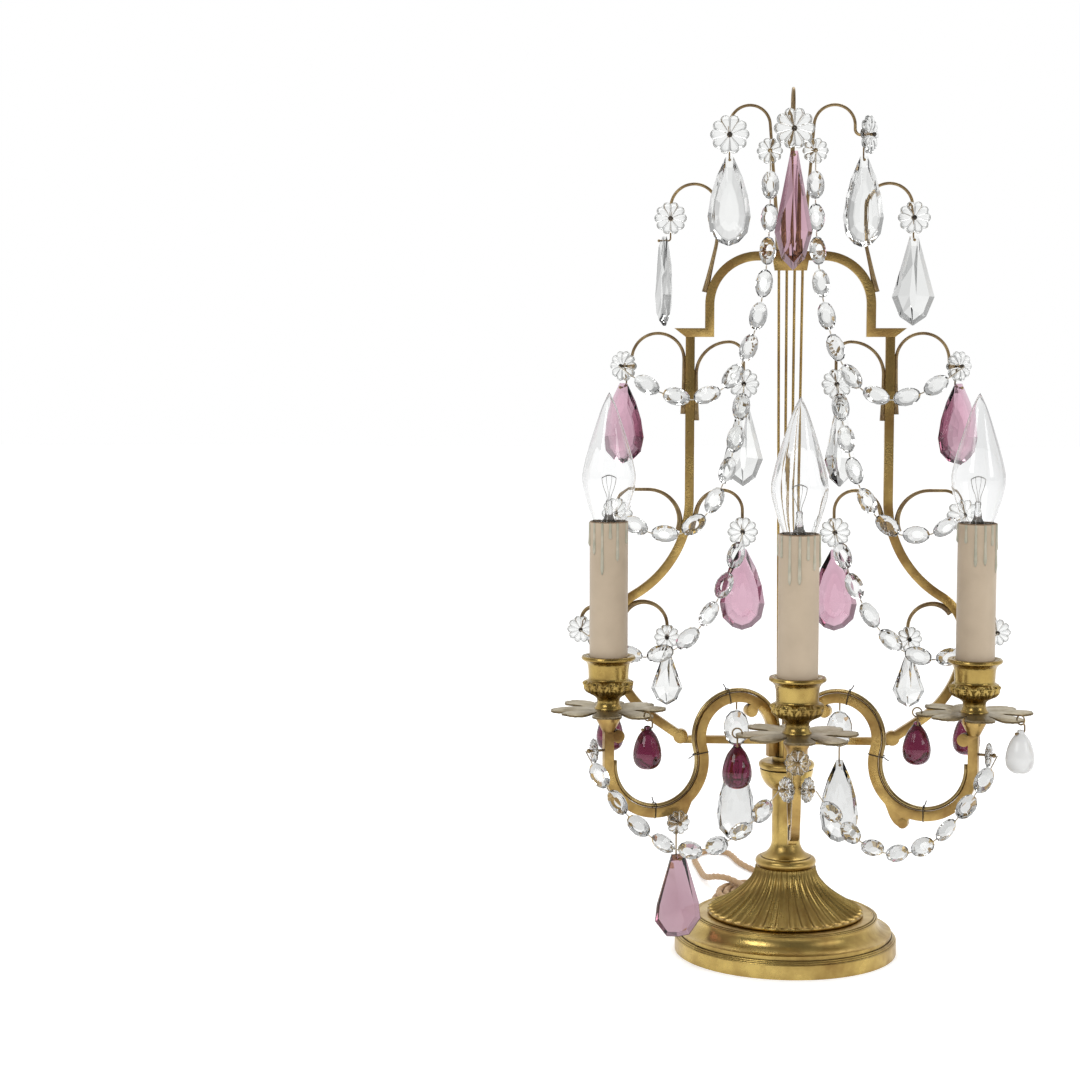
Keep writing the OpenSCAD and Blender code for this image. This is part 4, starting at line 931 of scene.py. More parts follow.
@dataclass
class HookWires(Work):
    """Bent wires that leave the lyre's bars and end in the rosettes' pins."""

    y: float = 12.0
    wire: float = 0.95
    clear: float = 3.8
    arch_top: float = 439.15
    haunch: tuple[float, float] = (20.0, 406.15)
    arch_r: float = 30.0
    side_x: float = 62.0
    flare: tuple[float, float] = (132.0, 284.0)
    flare_r: float = 70.0
    flare_turn: float = 59.0
    bulge_r: float = 30.0
    tip: float = 4.0
    stub: float = 3.5
    pin_r: float = 1.4
    root_swell: float = 1.3
    root_run: float = 0.016

    def _stalks(self) -> list[Stalk]:
        def on_circle(middle: tuple[float, float], r: float, degrees: float) -> tuple[float, float]:
            a = math.radians(degrees)
            return middle[0] + r * math.cos(a), middle[1] + r * math.sin(a)

        c = self.clear
        turned = math.radians(self.flare_turn)
        bulge = (self.flare[0] - (self.flare_r + self.bulge_r) * math.cos(turned),
                 self.flare[1] - (self.flare_r + self.bulge_r) * math.sin(turned))
        top = Hook(7.5, self.arch_top, 85.6, (Line(78), Arc(12.6, -175.6), Line(2)))
        shoulder = Hook(*on_circle(self.haunch, self.arch_r + c, 13), 103,
                        (Line(28), Arc(40, -13), Line(16), Arc(14.5, -180), Line(3)))
        upper_outer = Hook(self.side_x + c, 338, 90, (Line(34), Arc(16.3, -180)))
        upper_inner = Hook(self.side_x - c, 334, 90, (Line(28.5), Arc(20.5, 90), Arc(9, 90), Line(13)))
        lower_outer = Hook(*on_circle(self.flare, self.flare_r - c, 197), 107,
                           (Arc(20, -107), Line(9), Arc(10.5, -90)))
        lower_inner = Hook(*on_circle(self.flare, self.flare_r + c, 195), 105,
                           (Line(14), Arc(16, 75), Arc(13, 90), Line(8.5)))
        belly_inner = Hook(*on_circle(bulge, self.bulge_r - c, 35), 125, (Arc(14, 55), Arc(15, 90), Line(2)))
        belly_outer = Hook(*on_circle(bulge, self.bulge_r + c, 5), 95, (Line(6), Arc(8, -185), Line(1)))
        both = [(shoulder, 0), (upper_outer, 30), (upper_inner, 0), (lower_outer, 0), (lower_inner, 0),
                (belly_inner, 0), (belly_outer, 0)]
        stalks = [Stalk(top, -1, 0, 6), Stalk(top, 1, 60, 5.5)]
        return stalks + [Stalk(hook, side, turn, 6) for hook, turn in both for side in (-1, 1)]

    def routes(self) -> list[list[Vector]]:
        """Gives every hook's centre line.

        Returns:
            Routes in metres, each ending in the middle of its pin's head.
        """
        found = []
        for stalk in self._stalks():
            a = math.radians(stalk.hook.heading)
            heading, left = Vector((math.cos(a), 0, math.sin(a))), Vector((-math.sin(a), 0, math.cos(a)))
            end = (Roll(90 - stalk.turn), Arc(self.tip, 90), Line(stalk.run + self.stub))
            route = bent(Vector((stalk.hook.x, self.y, stalk.hook.z)), heading, left, stalk.hook.path + end)
            found.append([Vector((p.x * stalk.side, p.y, p.z)) for p in route])
        middle = (Line(88.4), Roll(90), Arc(10, 180), Line(11.5), Arc(self.tip, -90), Line(4 + self.stub))
        found.append(bent(Vector((0, self.y, self.arch_top)), UP, Vector((-1, 0, 0)), middle))
        return found

    def _thickness(self, s: float) -> float:
        return self.wire * MM * (1 + self.root_swell * math.exp(-s / self.root_run))

    def build(self) -> None:
        """Makes the wires and the heads of their pins."""
        wires, heads = MeshMaker(), MeshMaker()
        for route in self.routes():
            sweep(wires, route, self._thickness, 10)
            ball(heads, route[-1], self.pin_r * MM)
        settle(wires.build("hook_wires", self.finishes["wire"]), nodes=["lyre_hooks"])
        settle(heads.build("pin_heads", self.finishes["pin"]))


@dataclass
class WiringTubes(Work):
    """Tubes that carry the flex along each arm."""

    root: float = 10.0
    arch_r: float = 24.0
    bowl_r: float = 31.0
    arch_z: float = 139.0
    turn: float = 15.5
    off: float = 4.4
    first: float = 8.0
    tube: float = 1.25
    azimuths: tuple[float, ...] = (-160.0, -90.0, -20.0)
    ties: tuple[float, ...] = (0.25, 0.5, 0.76)
    tie_wire: float = 0.00034
    tie_slack: float = 0.4
    bar_half: tuple[float, float] = (3.0, 2.5)
    lobe_start: float = 224.0
    lobe_tip: float = 250.0
    lobe_end: float = 257.0
    lobe_reach: float = 7.4

    def _tie(self, route: list[Vector], share: float) -> list[Vector]:
        i = round(share * (len(route) - 1))
        ahead = (route[i + 1] - route[i - 1]).normalized()
        out, slack = Vector((-ahead.z, 0, ahead.x)), self.tie_slack
        low, high = -self.off - self.bar_half[0] - slack, self.tube + slack
        middle = route[i] + out * (low + high) / 2 * MM
        loop = []
        for k in range(41):
            x, y = squarish(2 * math.pi * k / 40, 0.4)
            loop.append(middle + (out * x * (high - low) / 2 + BACK * y * (self.bar_half[1] + slack)
                                  + ahead * 0.7 * k / 40) * MM)
        tail = loop[-1]
        return loop + [tail + (out * 0.9 * k + ahead * (0.5 * k - 0.04 * k * k)) * MM for k in range(1, 5)]

    def _lobe(self, maker: MeshMaker, turned: Matrix) -> None:
        lean = math.radians(self.turn)
        across = (self.arch_r + self.bowl_r) * Vector((math.cos(lean), 0, -math.sin(lean)))
        middle = Vector((self.root + self.arch_r, 0, self.arch_z)) + across
        edge = self.bowl_r + self.bar_half[0]
        inner, half = self.bowl_r + 2.0, self.bar_half[1] - 0.15
        rings = []
        for k in range(33):
            degrees = self.lobe_start + (self.lobe_end - self.lobe_start) * k / 32
            rise = min(1.0, (degrees - self.lobe_start) / (self.lobe_tip - self.lobe_start))
            fall = max(0.0, (degrees - self.lobe_tip) / (self.lobe_end - self.lobe_tip))
            share = rise * rise * (3 - 2 * rise) * math.sqrt(max(0.0, 1 - fall * fall))
            a = math.radians(degrees)
            way = Vector((math.cos(a), 0, math.sin(a)))
            outer = edge - 0.3 + self.lobe_reach * share
            rings.append([turned @ (middle + way * r + BACK * y) * MM
                          for r, y in ((inner, -half), (outer, -half), (outer, half), (inner, half))])
        maker.loft(rings)

    def build(self) -> None:
        """Makes the three tubes, the wires that tie them to the arms and the lobes under the arms."""
        maker, knots, lobes = MeshMaker(), MeshMaker(), MeshMaker()
        a = math.radians(self.first)
        r = self.arch_r + self.off
        start = Vector((self.root + self.arch_r - r * math.cos(a), 0, self.arch_z + r * math.sin(a)))
        heading, left = Vector((math.sin(a), 0, math.cos(a))), Vector((-math.cos(a), 0, math.sin(a)))
        path = (Arc(r, self.first - 180 - self.turn), Arc(self.bowl_r - self.off, 180 + self.turn), Line(3))
        route = bent(start, heading, left, path)
        for azimuth in self.azimuths:
            turned = Matrix.Rotation(math.radians(azimuth), 3, "Z")
            sweep(maker, [turned @ p for p in route], lambda s: self.tube * MM, 12)
            for share in self.ties:
                sweep(knots, [turned @ p for p in self._tie(route, share)], lambda s: self.tie_wire, 6)
            self._lobe(lobes, turned)
        settle(lobes.build("arm_lobes", self.finishes["bar_gilt"], smooth=False))
        settle(maker.build("wiring_tubes", self.finishes["tube"]), nodes=["arm_conduits"])
        settle(knots.build("tube_ties", self.finishes["pin"]))


# Glass


@dataclass
class Rosettes(Work):
    """Pressed glass flowers with a rim round each petal, one for each island of their node."""

    petals: int = 10
    samples: int = 12
    rings: int = 10
    eye: float = 0.24
    eye_lift: float = 0.75
    notch: float = 0.2
    base: float = 0.12
    front_lift: float = 0.78
    back_lift: float = 0.38
    rim: float = 0.00042

    def _flower(self, maker: MeshMaker, island: Island) -> None:
        normal = island.axes[2] if island.axes[2].y < 0 else -island.axes[2]
        across = normal.cross(UP).normalized()
        rise = across.cross(normal)
        outer, deep = island.half[0], island.half[2]
        n = self.petals * self.samples
        skin: list[list[Vector]] = []
        for face in (-1, 1):
            order = range(1, self.rings + 1) if face < 0 else range(self.rings, 0, -1)
            for i in order:
                t = math.sin(math.pi / 2 * i / self.rings)
                ring = []
                for k in range(n):
                    angle = 2 * math.pi * k / n
                    lobe = abs(math.cos(angle * self.petals / 2))
                    edge = outer * (1 - self.notch + self.notch * lobe ** 0.55)
                    round_off = 1 - t ** 9
                    plateau = (1 - (1 - lobe) ** 5) * round_off if t > self.eye else self.eye_lift
                    lift = self.base + (self.front_lift * plateau if face > 0 else self.back_lift * round_off)
                    ring.append(island.centre + edge * t * (math.cos(angle) * across + math.sin(angle) * rise)
                                + normal * deep * lift * face)
                skin.append(ring)
        maker.loft(skin)
        hoop(maker, [p - (p - island.centre).normalized() * self.rim for p in skin[self.rings]], self.rim, 6)

    def build(self) -> None:
        """Makes the flowers."""
        maker = MeshMaker()
        for island in islands(self.node("rosettes")):
            self._flower(maker, island)
        settle(maker.build("rosette_flowers", self.finishes["crystal"]), nodes=["rosettes"])


@dataclass
class Beads(Work):
    """Oval beads, cut with a table and a row of facets on each face."""

    sides: int = 14
    flat: float = 0.86
    levels: tuple[tuple[float, float], ...] = (
        (-1.0, 0.42), (-0.14, 1.0), (0.14, 1.0), (0.62, 0.84), (0.9, 0.52))

    def build(self) -> None:
        """Makes each garland's beads."""
        for node in ("garland_left", "garland_right", "garland_lower"):
            maker = MeshMaker()
            for island in islands(self.node(node)):
                a, b, n = (axis * half for axis, half in zip(island.axes, island.half))
                maker.loft([oval(island.centre + n * self.flat * height, a * scale, b * scale, self.sides)
                            for height, scale in self.levels])
            beads = maker.build(f"{node}_beads", self.finishes["crystal"], smooth=False)
            settle(beads, nodes=[node])


@dataclass(frozen=True)
class Cut:
    """How a drop is cut: half its outline, and the layers from one table to the other.

    Outline points are shares of the half width and of the length from the top. Layers are shares of the half
    thickness, the width and the length.
    """

    outline: tuple[tuple[float, float], ...]
    layers: tuple[tuple[float, float, float], ...]


PEAR = Cut(((0.16, 0.0), (0.6, 0.23), (0.86, 0.44), (1.0, 0.67), (0.86, 0.85), (0.44, 0.96), (0.0, 1.0)),
           ((-0.94, 0.42, 0.52), (-0.7, 0.72, 0.80), (-0.14, 1.0, 1.0), (0.14, 1.0, 1.0), (0.6, 0.72, 0.80),
            (0.88, 0.46, 0.57), (1.0, 0.22, 0.36)))
KITE = Cut(((0.19, 0.0), (1.0, 0.68), (0.62, 0.9), (0.0, 1.0)),
           ((-1.0, 0.16, 0.50), (-0.2, 1.0, 1.0), (0.2, 1.0, 1.0), (0.85, 0.74, 0.82)))
SHIELD = Cut(((0.28, 0.0), (0.92, 0.6), (1.0, 0.8), (0.5, 0.985), (0.0, 1.0)),
             ((-0.8, 0.78, 0.86), (-0.2, 1.0, 1.0), (0.2, 1.0, 1.0), (1.0, 0.04, 0.04)))


@dataclass
class CutDrops(Work):
    """Drops cut with a wide table on each face and bevels round it, drilled at the top for their pins."""

    pivot: float = 0.64
    flat: float = 0.8
    hole_down: float = 0.0026
    hole_r: float = 0.0006
    hole_run: float = 0.01

    shapes = (
        (PEAR, "crystal", ("drop_top_left", "drop_top_right", "arm_drop_left", "arm_drop_right")),
        (PEAR, "amethyst", ("drop_upper_outer_left", "drop_upper_outer_right", "drop_lower_inner_left",
                            "drop_lower_inner_right")),
        (KITE, "crystal", ("drop_shoulder_left", "drop_shoulder_right", "drop_upper_inner_left",
                           "drop_upper_inner_right", "drop_lower_outer_left", "drop_lower_outer_right",
                           "drop_belly_left", "drop_belly_right")),
        (KITE, "plum", ("drop_top_middle",)),
        (SHIELD, "plum", ("arm_kite_left",)),
    )

    def _skin(self, cut: Cut, island: Island) -> MeshMaker:
        normal = Vector((island.axes[2].x, island.axes[2].y, 0.0)).normalized()
        normal = normal if normal.y < 0 else -normal
        across = normal.cross(UP)
        length, width, deep = 2 * island.half[0], island.half[1], island.half[2] * self.flat
        top = island.centre + UP * length / 2
        loop = [*cut.outline, *((-x, y) for x, y in cut.outline[-2::-1])]
        maker = MeshMaker()
        maker.loft([[top + across * x * width * wide - UP * length * (self.pivot + (y - self.pivot) * tall)
                     + normal * deep * level for x, y in loop] for level, wide, tall in cut.layers])
        return maker

    def build(self) -> None:
        """Makes every cut drop on its own body."""
        for cut, finish, names in self.shapes:
            for name in names:
                island = islands(self.node(name))[0]
                piece = self._skin(cut, island).build(f"{name}_crystal", self.finishes[finish], smooth=False)
                normal = Vector((island.axes[2].x, island.axes[2].y, 0.0)).normalized()
                hole = island.centre + UP * (island.half[0] - self.hole_down)
                drill(piece, hole - normal * self.hole_run, hole + normal * self.hole_run, self.hole_r)
                settle(piece, name, [name])


def drill(piece: bpy.types.Object, start: Vector, end: Vector, radius: float) -> None:
    """Drills a round hole through a piece.

    Args:
        piece: The piece, which stands at the origin.
        start: Where the drill starts, in metres.
        end: Where it ends.
        radius: The hole's radius.
    """
    maker = MeshMaker()
    sweep(maker, [start, end], lambda s: radius, 12)
    cutter = maker.build("drill", piece.data.materials[0])
    cut = piece.modifiers.new("hole", "BOOLEAN")
    cut.operation, cut.object, cut.solver = "DIFFERENCE", cutter, "EXACT"
    bpy.context.view_layer.update()
    drilled = bpy.data.meshes.new_from_object(piece.evaluated_get(bpy.context.evaluated_depsgraph_get()))
    piece.modifiers.clear()
    piece.data = drilled
    bpy.data.objects.remove(cutter)


@dataclass
class Bulbs(Work):
    """Flame-tip bulbs: thin glass, a stem with its filament, and a screw cap."""

    names: tuple[str, ...] = ("bulb_left", "bulb_front", "bulb_right")
    cap_r: float = 6.85
    cap_h: float = 22.0
    cap_steps: int = 44
    thread: float = 0.25
    thread_turn: float = 1.15
    neck_r: float = 9.05
    widest: float = 16.2
    pole_r: float = 0.02
    hollow: float = 0.975
    glass: float = 0.5
    ribs: int = 10
    rib: float = 0.14
    post_r: float = 0.00022
    hold_r: float = 0.00014
    coil_r: float = 0.00012
    coil_steps: int = 120
    coil_turn: float = 1.25
    coil_half: float = 0.35
    coil_z: float = 31.2
    coil_rise: float = 1.6

    belly = ((0.78, 0.17), (1.0, 0.35), (0.9, 0.5), (0.6, 0.7), (0.26, 0.9))
    stem = ((6.5, 0.6), (5.2, 3.0), (2.6, 8.0), (1.8, 15.0), (2.0, 17.0), (1.2, 18.0))
    posts = ((1.0, 0.0, 14.0), (1.3, 0.0, 20.0), (3.4, 0.0, 26.0), (4.4, 0.0, 31.0))
    holds = ((0.0, 0.0, 17.0), (0.5, 0.0, 23.0), (1.5, 0.3, 29.0), (1.6, 0.4, 32.4))

    def _profile(self, low: float, h: float) -> list[tuple[float, float]]:
        belly = [(self.widest * wide, h * up) for wide, up in self.belly]
        outer = [(self.neck_r, 0.0), (self.neck_r + 0.2, h * 0.05), *belly, (0.05, h)]
        inner = [(max(x - self.glass, self.pole_r), min(y, h * self.hollow)) for x, y in outer]
        skin, back = smooth_profile(outer, 6), smooth_profile(inner, 6)
        return [(max(x, self.pole_r), low + y) for x, y in skin + back[::-1]]

    def _ribs(self, low: float, h: float) -> Callable[[float, float], float]:
        def relief(angle: float, z: float) -> float:
            u = min(max((z - low) / h, 0.0), 1.0)
            return self.rib * math.cos(angle * self.ribs) * math.sin(math.pi * u) ** 2
        return relief

    def build(self) -> None:
        """Makes the three bulbs."""
        for name in self.names:
            low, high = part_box(name)
            centre = (low + high) / 2
            base = low.z / MM + self.cap_h
            h = high.z / MM - base
            shell = MeshMaker()
            rings = lathe(self._profile(base, h), centre, 80, self._ribs(base, h))
            shell.loft(rings + [rings[0]], closed_ends=False)
            glass = settle(shell.build(f"{name}_glass", self.finishes["bulb"]), name, [name])
            stem, wire, cap = MeshMaker(), MeshMaker(), MeshMaker()
            stem.loft(lathe([(r, base + z) for r, z in self.stem], centre, 24))
            self._filament(wire, centre, base)
            cap.loft(lathe(self._cap(low.z / MM), centre, 32))
            for part, maker, finish in (("stem", stem, "bulb"), ("filament", wire, "filament"),
                                        ("cap", cap, "bright_gilt")):
                settle(maker.build(f"{name}_{part}", self.finishes[finish]), name)
            LOG.info("bulb %s: %d glass faces", name, len(glass.data.polygons))

    def _cap(self, low: float) -> list[tuple[float, float]]:
        profile = [(3.0, low), (self.cap_r - 1.5, low + 1)]
        for k in range(self.cap_steps + 1):
            radius = self.cap_r - self.thread + self.thread * math.sin(k * self.thread_turn)
            profile.append((radius, low + 2 + k * (self.cap_h - 2) / self.cap_steps))
        return profile

    def _filament(self, maker: MeshMaker, centre: Vector, base: float) -> None:
        foot = Vector((centre.x, centre.y, base * MM))
        for side in (-1, 1):
            for points, radius in ((self.posts, self.post_r), (self.holds, self.hold_r)):
                route = catmull([foot + Vector((side * x, y, z)) * MM for x, y, z in points], 5)
                sweep(maker, route, lambda s, radius=radius: radius, 6)
        reach, coil = self.posts[-1][0], []
        for k in range(self.coil_steps + 1):
            share, turn = k / self.coil_steps, k * self.coil_turn
            rise = self.coil_z + self.coil_rise * math.sin(math.pi * share) + self.coil_half * math.sin(turn)
            coil.append(foot + Vector((reach * (2 * share - 1), self.coil_half * math.cos(turn), rise)) * MM)
        sweep(maker, coil, lambda s: self.coil_r, 5)


# Candles


@dataclass
class CandleCups(Work):
    """Cast cups: a thin rolled lip, a polished neck, a bowl of leaves and a waisted foot."""

    leaves: int = 9
    low_leaf: float = 0.24
    high_leaf: float = 0.54
    leaf: float = 1.7
    sink: float = 1.1
    vein: float = 0.7
    ribs: float = 0.35
    curl: float = 0.6
    socket_r: float = 11.95
    socket_deep: float = 3.4
    bore_r: float = 4.2
    shape: tuple[tuple[float, float], ...] = (
        (8.6, 0.0), (8.4, 0.015), (7.3, 0.07), (6.9, 0.13), (7.2, 0.19), (9.0, 0.24), (12.2, 0.30),
        (14.0, 0.36), (14.6, 0.43), (14.5, 0.49), (13.8, 0.53), (12.7, 0.55), (12.25, 0.58), (12.3, 0.66),
        (12.5, 0.76), (13.1, 0.85), (14.6, 0.905), (16.2, 0.935), (16.6, 0.965), (16.1, 1.0))

    def _relief(self, low: float, h: float) -> Callable[[float, float], float]:
        def relief(angle: float, z: float) -> float:
            v = ((z - low) / h - self.low_leaf) / (self.high_leaf - self.low_leaf)
            if not 0.0 < v < 1.0:
                return 0.0
            phase = (angle * self.leaves / (2 * math.pi)) % 1.0 - 0.5
            half = 0.20 + 0.27 * math.sin(math.pi * min(v * 0.72 + 0.1, 1.0)) + 0.012 * math.sin(34 * v)
            inside = max(0.0, 1 - (phase / half) ** 2)
            leaf = self.leaf * inside ** 0.5 - self.sink
            vein = -self.vein * math.exp(-(phase / 0.05) ** 2) * inside
            ribs = self.ribs * math.cos(26 * abs(phase) - 10 * v) * inside
            curl = self.curl * math.exp(-((v - 0.8) / 0.1) ** 2) * inside
            return (leaf + vein + ribs + curl) * min(1.0, v * 5, (1 - v) * 9)
        return relief

    def build(self) -> None:
        """Makes the three cups."""
        low, high = (corner.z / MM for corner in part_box("candle_cups"))
        h = high - low
        skin = [(r, low + h * u) for r, u in smooth_profile(self.shape, 7)]
        skin += [(self.socket_r, high - 0.1), (self.socket_r, high - self.socket_deep),
                 (self.bore_r, high - self.socket_deep - 0.1)]
        maker = MeshMaker()
        for island in islands(self.node("candle_cups")):
            maker.loft(lathe(skin, island.centre, 216, self._relief(low, h)))
        settle(maker.build("leafed_cups", self.finishes["bright_gilt"]), nodes=["candle_cups"])


@dataclass
class DripPans(Work):
    """Cut-out pans whose petals are notched, veined and a little uneven."""

    petals: int = 8
    samples: int = 26
    rings: int = 16
    reach: float = 26.5
    tip: float = 9.0
    arm: float = 6.6
    hole: float = 4.4
    notch: float = 1.3
    flat_r: float = 14.0
    petal_run: float = 21.0
    wave: float = 0.9
    crown: float = 0.9
    droop: float = 1.2
    vein: float = 0.35
    ribs: float = 0.12

    def _edge(self, phi: float) -> float:
        chord = self.tip ** 2 - (self.reach * math.sin(phi)) ** 2
        if chord > 0:
            return self.reach * math.cos(phi) + math.sqrt(chord) - self.notch * math.exp(-(phi / 0.035) ** 2)
        return self.arm / max(math.sin(abs(phi)), 0.05)

    def _height(self, r: float, phi: float, petal: int) -> float:
        out = max(0.0, (r - self.flat_r) / self.petal_run)
        side = r * math.sin(phi)
        wave = self.wave * out * math.sin(petal * 2.4 + 1.0)
        crown = self.crown * out * (1 - (side / self.tip) ** 2) - self.droop * out ** 3
        vein = -self.vein * out * math.exp(-(side / 0.6) ** 2)
        ribs = self.ribs * out * math.cos(side * 2.6)
        return wave + crown + vein + ribs

    def build(self) -> None:
        """Makes the three pans."""
        low, high = (corner.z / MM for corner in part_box("drip_pans"))
        maker = MeshMaker()
        n = self.petals * self.samples
        for island in islands(self.node("drip_pans")):
            skin: list[list[Point]] = []
            for level, order in ((high, range(self.rings + 1)), (low, range(self.rings, -1, -1))):
                for i in order:
                    ring = []
                    for k in range(n):
                        petal = round(k / self.samples)
                        angle = 2 * math.pi * k / n
                        phi = angle - 2 * math.pi * petal / self.petals
                        r = self.hole + (self._edge(phi) - self.hole) * i / self.rings
                        z = level + self._height(r, phi, petal % self.petals)
                        ring.append((island.centre.x + r * MM * math.cos(angle),
                                     island.centre.y + r * MM * math.sin(angle), z * MM))
                    skin.append(ring)
            maker.loft(skin + [skin[0]], closed_ends=False)
        pans = maker.build("petal_pans", self.finishes["pan"])
        pans.data.materials.append(self.finishes["pan_edge"])
        for face in pans.data.polygons:
            face.material_index = int(face.index // n % (2 * self.rings + 2) == self.rings)
        settle(pans, nodes=["drip_pans"])


@dataclass
class WaxDrips(Work):
    """Painted drips that run down each candle sleeve from its top edge, in a wax darker and greener than the
    sleeve: painted shade.
    """

    radius: float = 11.7
    thin: float = 0.00075
    swell: float = 0.00055
    taper: float = 0.009
    rim_rod: float = 0.00055
    rim_inset: float = 0.0005
    turn_each: float = 17.0
    drips: tuple[tuple[float, float], ...] = (
        (-166, 14), (-136, 24), (-108, 30), (-84, 12), (-62, 25), (-26, 16), (36, 18), (101, 22), (150, 14))

    def build(self) -> None:
        """Makes the drips and the wax along each rim."""
        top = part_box("candle_sleeves")[1].z
        maker, rims = MeshMaker(), MeshMaker()
        r = self.radius * MM
        for number, island in enumerate(islands(self.node("candle_sleeves"))):
            centre = Vector((island.centre.x, island.centre.y, top))
            for degrees, length in self.drips:
                a = math.radians(degrees + self.turn_each * number)
                run = length * (0.8 + 0.12 * ((number * 7 + int(length)) % 4)) * MM
                start = centre + (ACROSS * math.cos(a) + BACK * math.sin(a)) * r
                route = [start - UP * run * k / 14 for k in range(15)]
                sweep(maker, route, lambda s, run=run: self.thin + self.swell * (s / run) ** 3
                      - self.taper * max(0.0, s / run - 0.9), 8)
            rim_r = r - self.rim_inset
            hoop(rims, oval(centre, ACROSS * rim_r, BACK * rim_r, 48), self.rim_rod)
        # The drips take the darker wax: painted shade.
        settle(maker.build("drips_painted_shade", self.finishes["wax_painted_shade"]))
        settle(rims.build("sleeve_rims", self.finishes["rim"]))


# Base


@dataclass
class FlutedDome(Work):
    """The trumpet dome, with hollow flutes between sharp ridges."""

    flutes: int = 40
    samples: int = 12
    rings: int = 40
    depth: float = 2.7
    ridge: float = 0.65
    bend: float = 1.85
    lip: float = 2.5
    lip_steps: tuple[tuple[float, float], ...] = ((1.2, 0.0), (0.2, 0.7), (0.0, 1.6))
    neck: float = 19.0
    neck_inset: float = 6.0
    reeds: tuple[tuple[float, float, float], ...] = ((57.4, 22.4, 0.5), (56.3, 22.9, 0.55), (54.9, 23.5, 0.4))

    def build(self) -> None:
        """Makes the dome."""
        low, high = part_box("fluted_dome")
        foot, bottom, top = high.x / MM, low.z / MM, high.z / MM
        n = self.flutes * self.samples

        def ring(radius: float, z: float, depth: float, slope: float = 0.0) -> list[Point]:
            found = []
            for k in range(n):
                a = 2 * math.pi * k / n
                cut = depth * radius / foot * abs(math.sin(a * self.flutes / 2)) ** self.ridge
                r = radius - cut * math.cos(slope)
                found.append((r * MM * math.cos(a), r * MM * math.sin(a), (z - cut * math.sin(slope)) * MM))
            return found

        skin = [ring(foot - inset, bottom + rise, 0.0) for inset, rise in self.lip_steps]
        for i in range(self.rings + 1):
            u = i / self.rings
            radius = self.neck + (foot - self.neck) * (1 - u) ** self.bend
            z = bottom + self.lip + (top - bottom - self.lip) * u
            fall = self.bend * (foot - self.neck) * (1 - u) ** (self.bend - 1)
            slope = math.atan2(fall, top - bottom - self.lip)
            skin.append(ring(radius, z, self.depth * min(1.0, 0.2 + u * 14), slope))
        skin.append(ring(self.neck - self.neck_inset, top, 0.0))
        maker = MeshMaker()
        maker.loft(skin)
        settle(maker.build("fluted_trumpet", self.finishes["gilt"]), nodes=["fluted_dome"])
        reeds = MeshMaker()
        for radius, z, tube in self.reeds:
            hoop(reeds, oval(UP * z * MM, ACROSS * radius * MM, BACK * radius * MM, 180), tube * MM)
        settle(reeds.build("foot_reeds", self.finishes["gilt"]))


# Cord


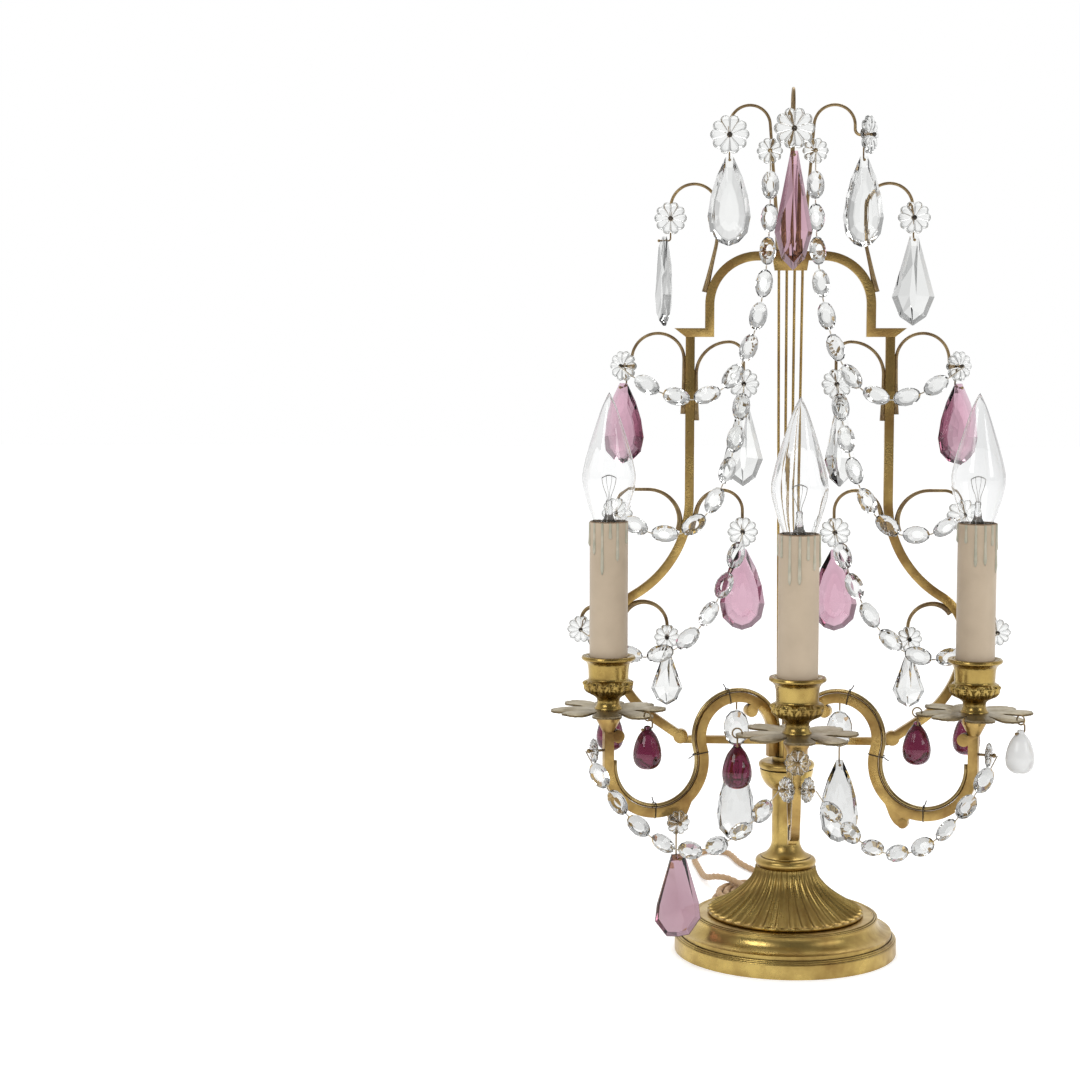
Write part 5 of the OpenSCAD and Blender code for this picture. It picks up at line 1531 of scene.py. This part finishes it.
@dataclass
class Cord(Work):
    """Twisted silk flex: out of its bush, over its own coil, round a loop and into the coil, a plug on top."""

    diameter: float = 4.5
    coil_middle: tuple[float, float] = (-9.0, 111.0)
    coil_outer: float = 36.0
    coil_step: float = 4.95
    coil_low: float = 2.4
    coil_turns: int = 4
    per_turn: int = 48
    lay_length: float = 0.016
    tie_at: float = -140.0
    tie_span: tuple[float, float] = (13.4, 38.8)
    tie_rise: tuple[float, float] = (0.1, 9.9)
    tie_sheet: float = 0.4
    tie_sink: float = 0.08
    tie_wide: float = 5.0

    lead = (
        (-18, 71, 14), (-18, 80, 14), (-19, 92, 13.5), (-22, 106, 13), (-27, 120, 12.6), (-34, 134, 12),
        (-41, 148, 9.5), (-46, 162, 5.5), (-49, 176, 3), (-51, 190, 2.4), (-53, 206, 2.4), (-55, 222, 2.4),
        (-55, 238, 2.4), (-50, 251, 2.4), (-40, 256, 2.4), (-31, 250, 2.4), (-27, 238, 2.4), (-24, 224, 2.4),
        (-19, 210, 2.4), (-12, 196, 2.4), (-4, 183, 2.4), (6, 171, 2.4), (15, 159, 2.4), (22, 146, 2.4),
        (26, 132, 2.4), (27, 122, 2.4), (27, 116, 2.4))
    tail = (
        (24, 105, 7.35), (23.5, 98, 7.7), (21, 90, 9), (15, 84, 10.6), (7, 82, 12.4), (1, 86, 14.4),
        (-1, 93, 16), (-1, 98, 16.4), (-1, 104, 16.4))

    def _coil(self) -> list[Vector]:
        turns, half, ease, ease_turns = self.coil_turns, 0.5, 1.95, 0.75
        inner = self.coil_outer - turns * self.coil_step
        total = 2 * turns
        middle = Vector((*self.coil_middle, 0.0))
        points = []
        for i in range(int(self.per_turn * total) + 1):
            t = i / self.per_turn
            if t < turns + half:
                r = self.coil_outer - self.coil_step * t
            else:
                eased = ease * min((t - turns - half) / ease_turns, 1)
                r = inner + self.coil_step * (t - turns - 2 * half) + eased
            f = min(max((t - turns) / half, 0.0), 1.0)
            z = self.coil_low + self.coil_step * (1 - math.cos(math.pi * f)) / 2
            a = 2 * math.pi * t
            points.append(middle + Vector((r * math.cos(a), -r * math.sin(a), z)))
        return points

    def route(self) -> list[Vector]:
        """Gives the cord's centre line.

        Returns:
            Points in metres, from the bush to the plug.
        """
        return [p * MM for p in catmull(self.lead, 6) + self._coil() + catmull(self.tail, 6)]

    def build(self) -> None:
        route = self.route()
        length = sum((b - a).length for a, b in zip(route, route[1:]))
        dense = resample(route, 0.0016)
        maker = MeshMaker()
        twist = 2 * math.pi / self.lay_length
        sweep(maker, dense, lambda s: self.diameter * MM / 2, 16,
              lambda angle, s: 0.74 + 0.26 * abs(math.cos(angle - twist * s)) ** 0.8)
        cord = maker.build("silk_cord", self.finishes["silk"])
        settle(cord, nodes=["cord_lead", "cord_coil", "cord_tail"])
        plug = [self.node("plug"), self.node("plug_pins")]
        tuple(route[0])
        self.diameter * MM
        self._tie()
        LOG.info("cord length %.3f m", length)

    def _tie(self) -> None:
        a = math.radians(self.tie_at)
        way, side = Vector((math.cos(a), math.sin(a), 0)), Vector((-math.sin(a), math.cos(a), 0))
        middle = Vector((*self.coil_middle, 0.0))
        (near, far), (low, high) = self.tie_span, self.tie_rise
        maker = MeshMaker()
        rings = []
        for k in range(64):
            x, y = squarish(2 * math.pi * k / 64, 0.3)
            ring = []
            for wide, grow in ((-1, 0), (1, 0), (1, 1), (-1, 1)):
                r = (near + far) / 2 + x * ((far - near) / 2 + self.tie_sheet * grow)
                thick = self.tie_sheet if y > 0 else -self.tie_sink
                z = (low + high) / 2 + y * (high - low) / 2 + thick * grow
                ring.append((middle + way * r + side * wide * self.tie_wide / 2 + UP * z) * MM)
            rings.append(ring)
        maker.loft(rings + [rings[0]], closed_ends=False)
        settle(maker.build("coil_tie", self.finishes["plug"], smooth=False))


def resample(route: Sequence[Vector], step: float) -> list[Vector]:
    """Spaces points evenly along a route.

    Args:
        route: Points in metres.
        step: Wanted spacing in metres.

    Returns:
        The new points, ends included.
    """
    cloud = np.array([tuple(p) for p in route])
    reach = np.concatenate([[0.0], np.cumsum(np.linalg.norm(np.diff(cloud, axis=0), axis=1))])
    keep = np.concatenate([[True], np.diff(reach) > 1e-9])
    stops = np.linspace(0.0, reach[-1], max(2, round(float(reach[-1]) / step)))
    columns = [np.interp(stops, reach[keep], cloud[keep, axis]) for axis in range(3)]
    return [Vector(p) for p in zip(*columns)]


# Assembly


BARS = ("lyre_arch", "lyre_left_side", "lyre_right_side", "lyre_bottom_bar", "arm_left", "arm_front",
        "arm_right")
NODE_FINISHES = {
    "gilt": ("foot", "column", "hub", "plug_pins"),
    "bar_gilt": (*BARS, "lyre_strings"),
    "wire": ("tie_rod", "rod_nut", "cord_bush", "drop_links", "lamp_holders"),
    "thin_wire": ("garland_wires",),
    "ivory": ("candle_sleeves",),
    "plug": ("plug",),
    "deep_amethyst": ("pan_drop_left_front", "pan_drop_left_back", "pan_drop_front_left",
                      "pan_drop_right_inner", "pan_drop_right_back"),
    "milk": ("pan_drop_right_front",),
}
WORKS = (FlutedDome, HookWires, WiringTubes, Rosettes, Beads, CutDrops, Bulbs, CandleCups, DripPans, WaxDrips)


def dress_nodes(frame: Frame, finishes: Finishes) -> None:
    """Gives the CAD nodes that stay their materials.

    Args:
        frame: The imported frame.
        finishes: The materials.
    """
    for finish, names in NODE_FINISHES.items():
        for name in names:
            materials = frame["nodes"][name].data.materials
            materials.clear()
            materials.append(finishes[finish])


def main() -> None:
    """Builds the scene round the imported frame."""
    logging.basicConfig(level=logging.INFO)
    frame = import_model()
    bpy.context.scene.view_settings.view_transform = "Standard"
    finishes = Finishes()
    Shot().build()
    Studio().build()
    Cord(frame, finishes).build()
    dress_nodes(frame, finishes)
    soften_bars(frame, BARS)
    for work in WORKS:
        work(frame, finishes).build()


if __name__ == "__main__":
    main()
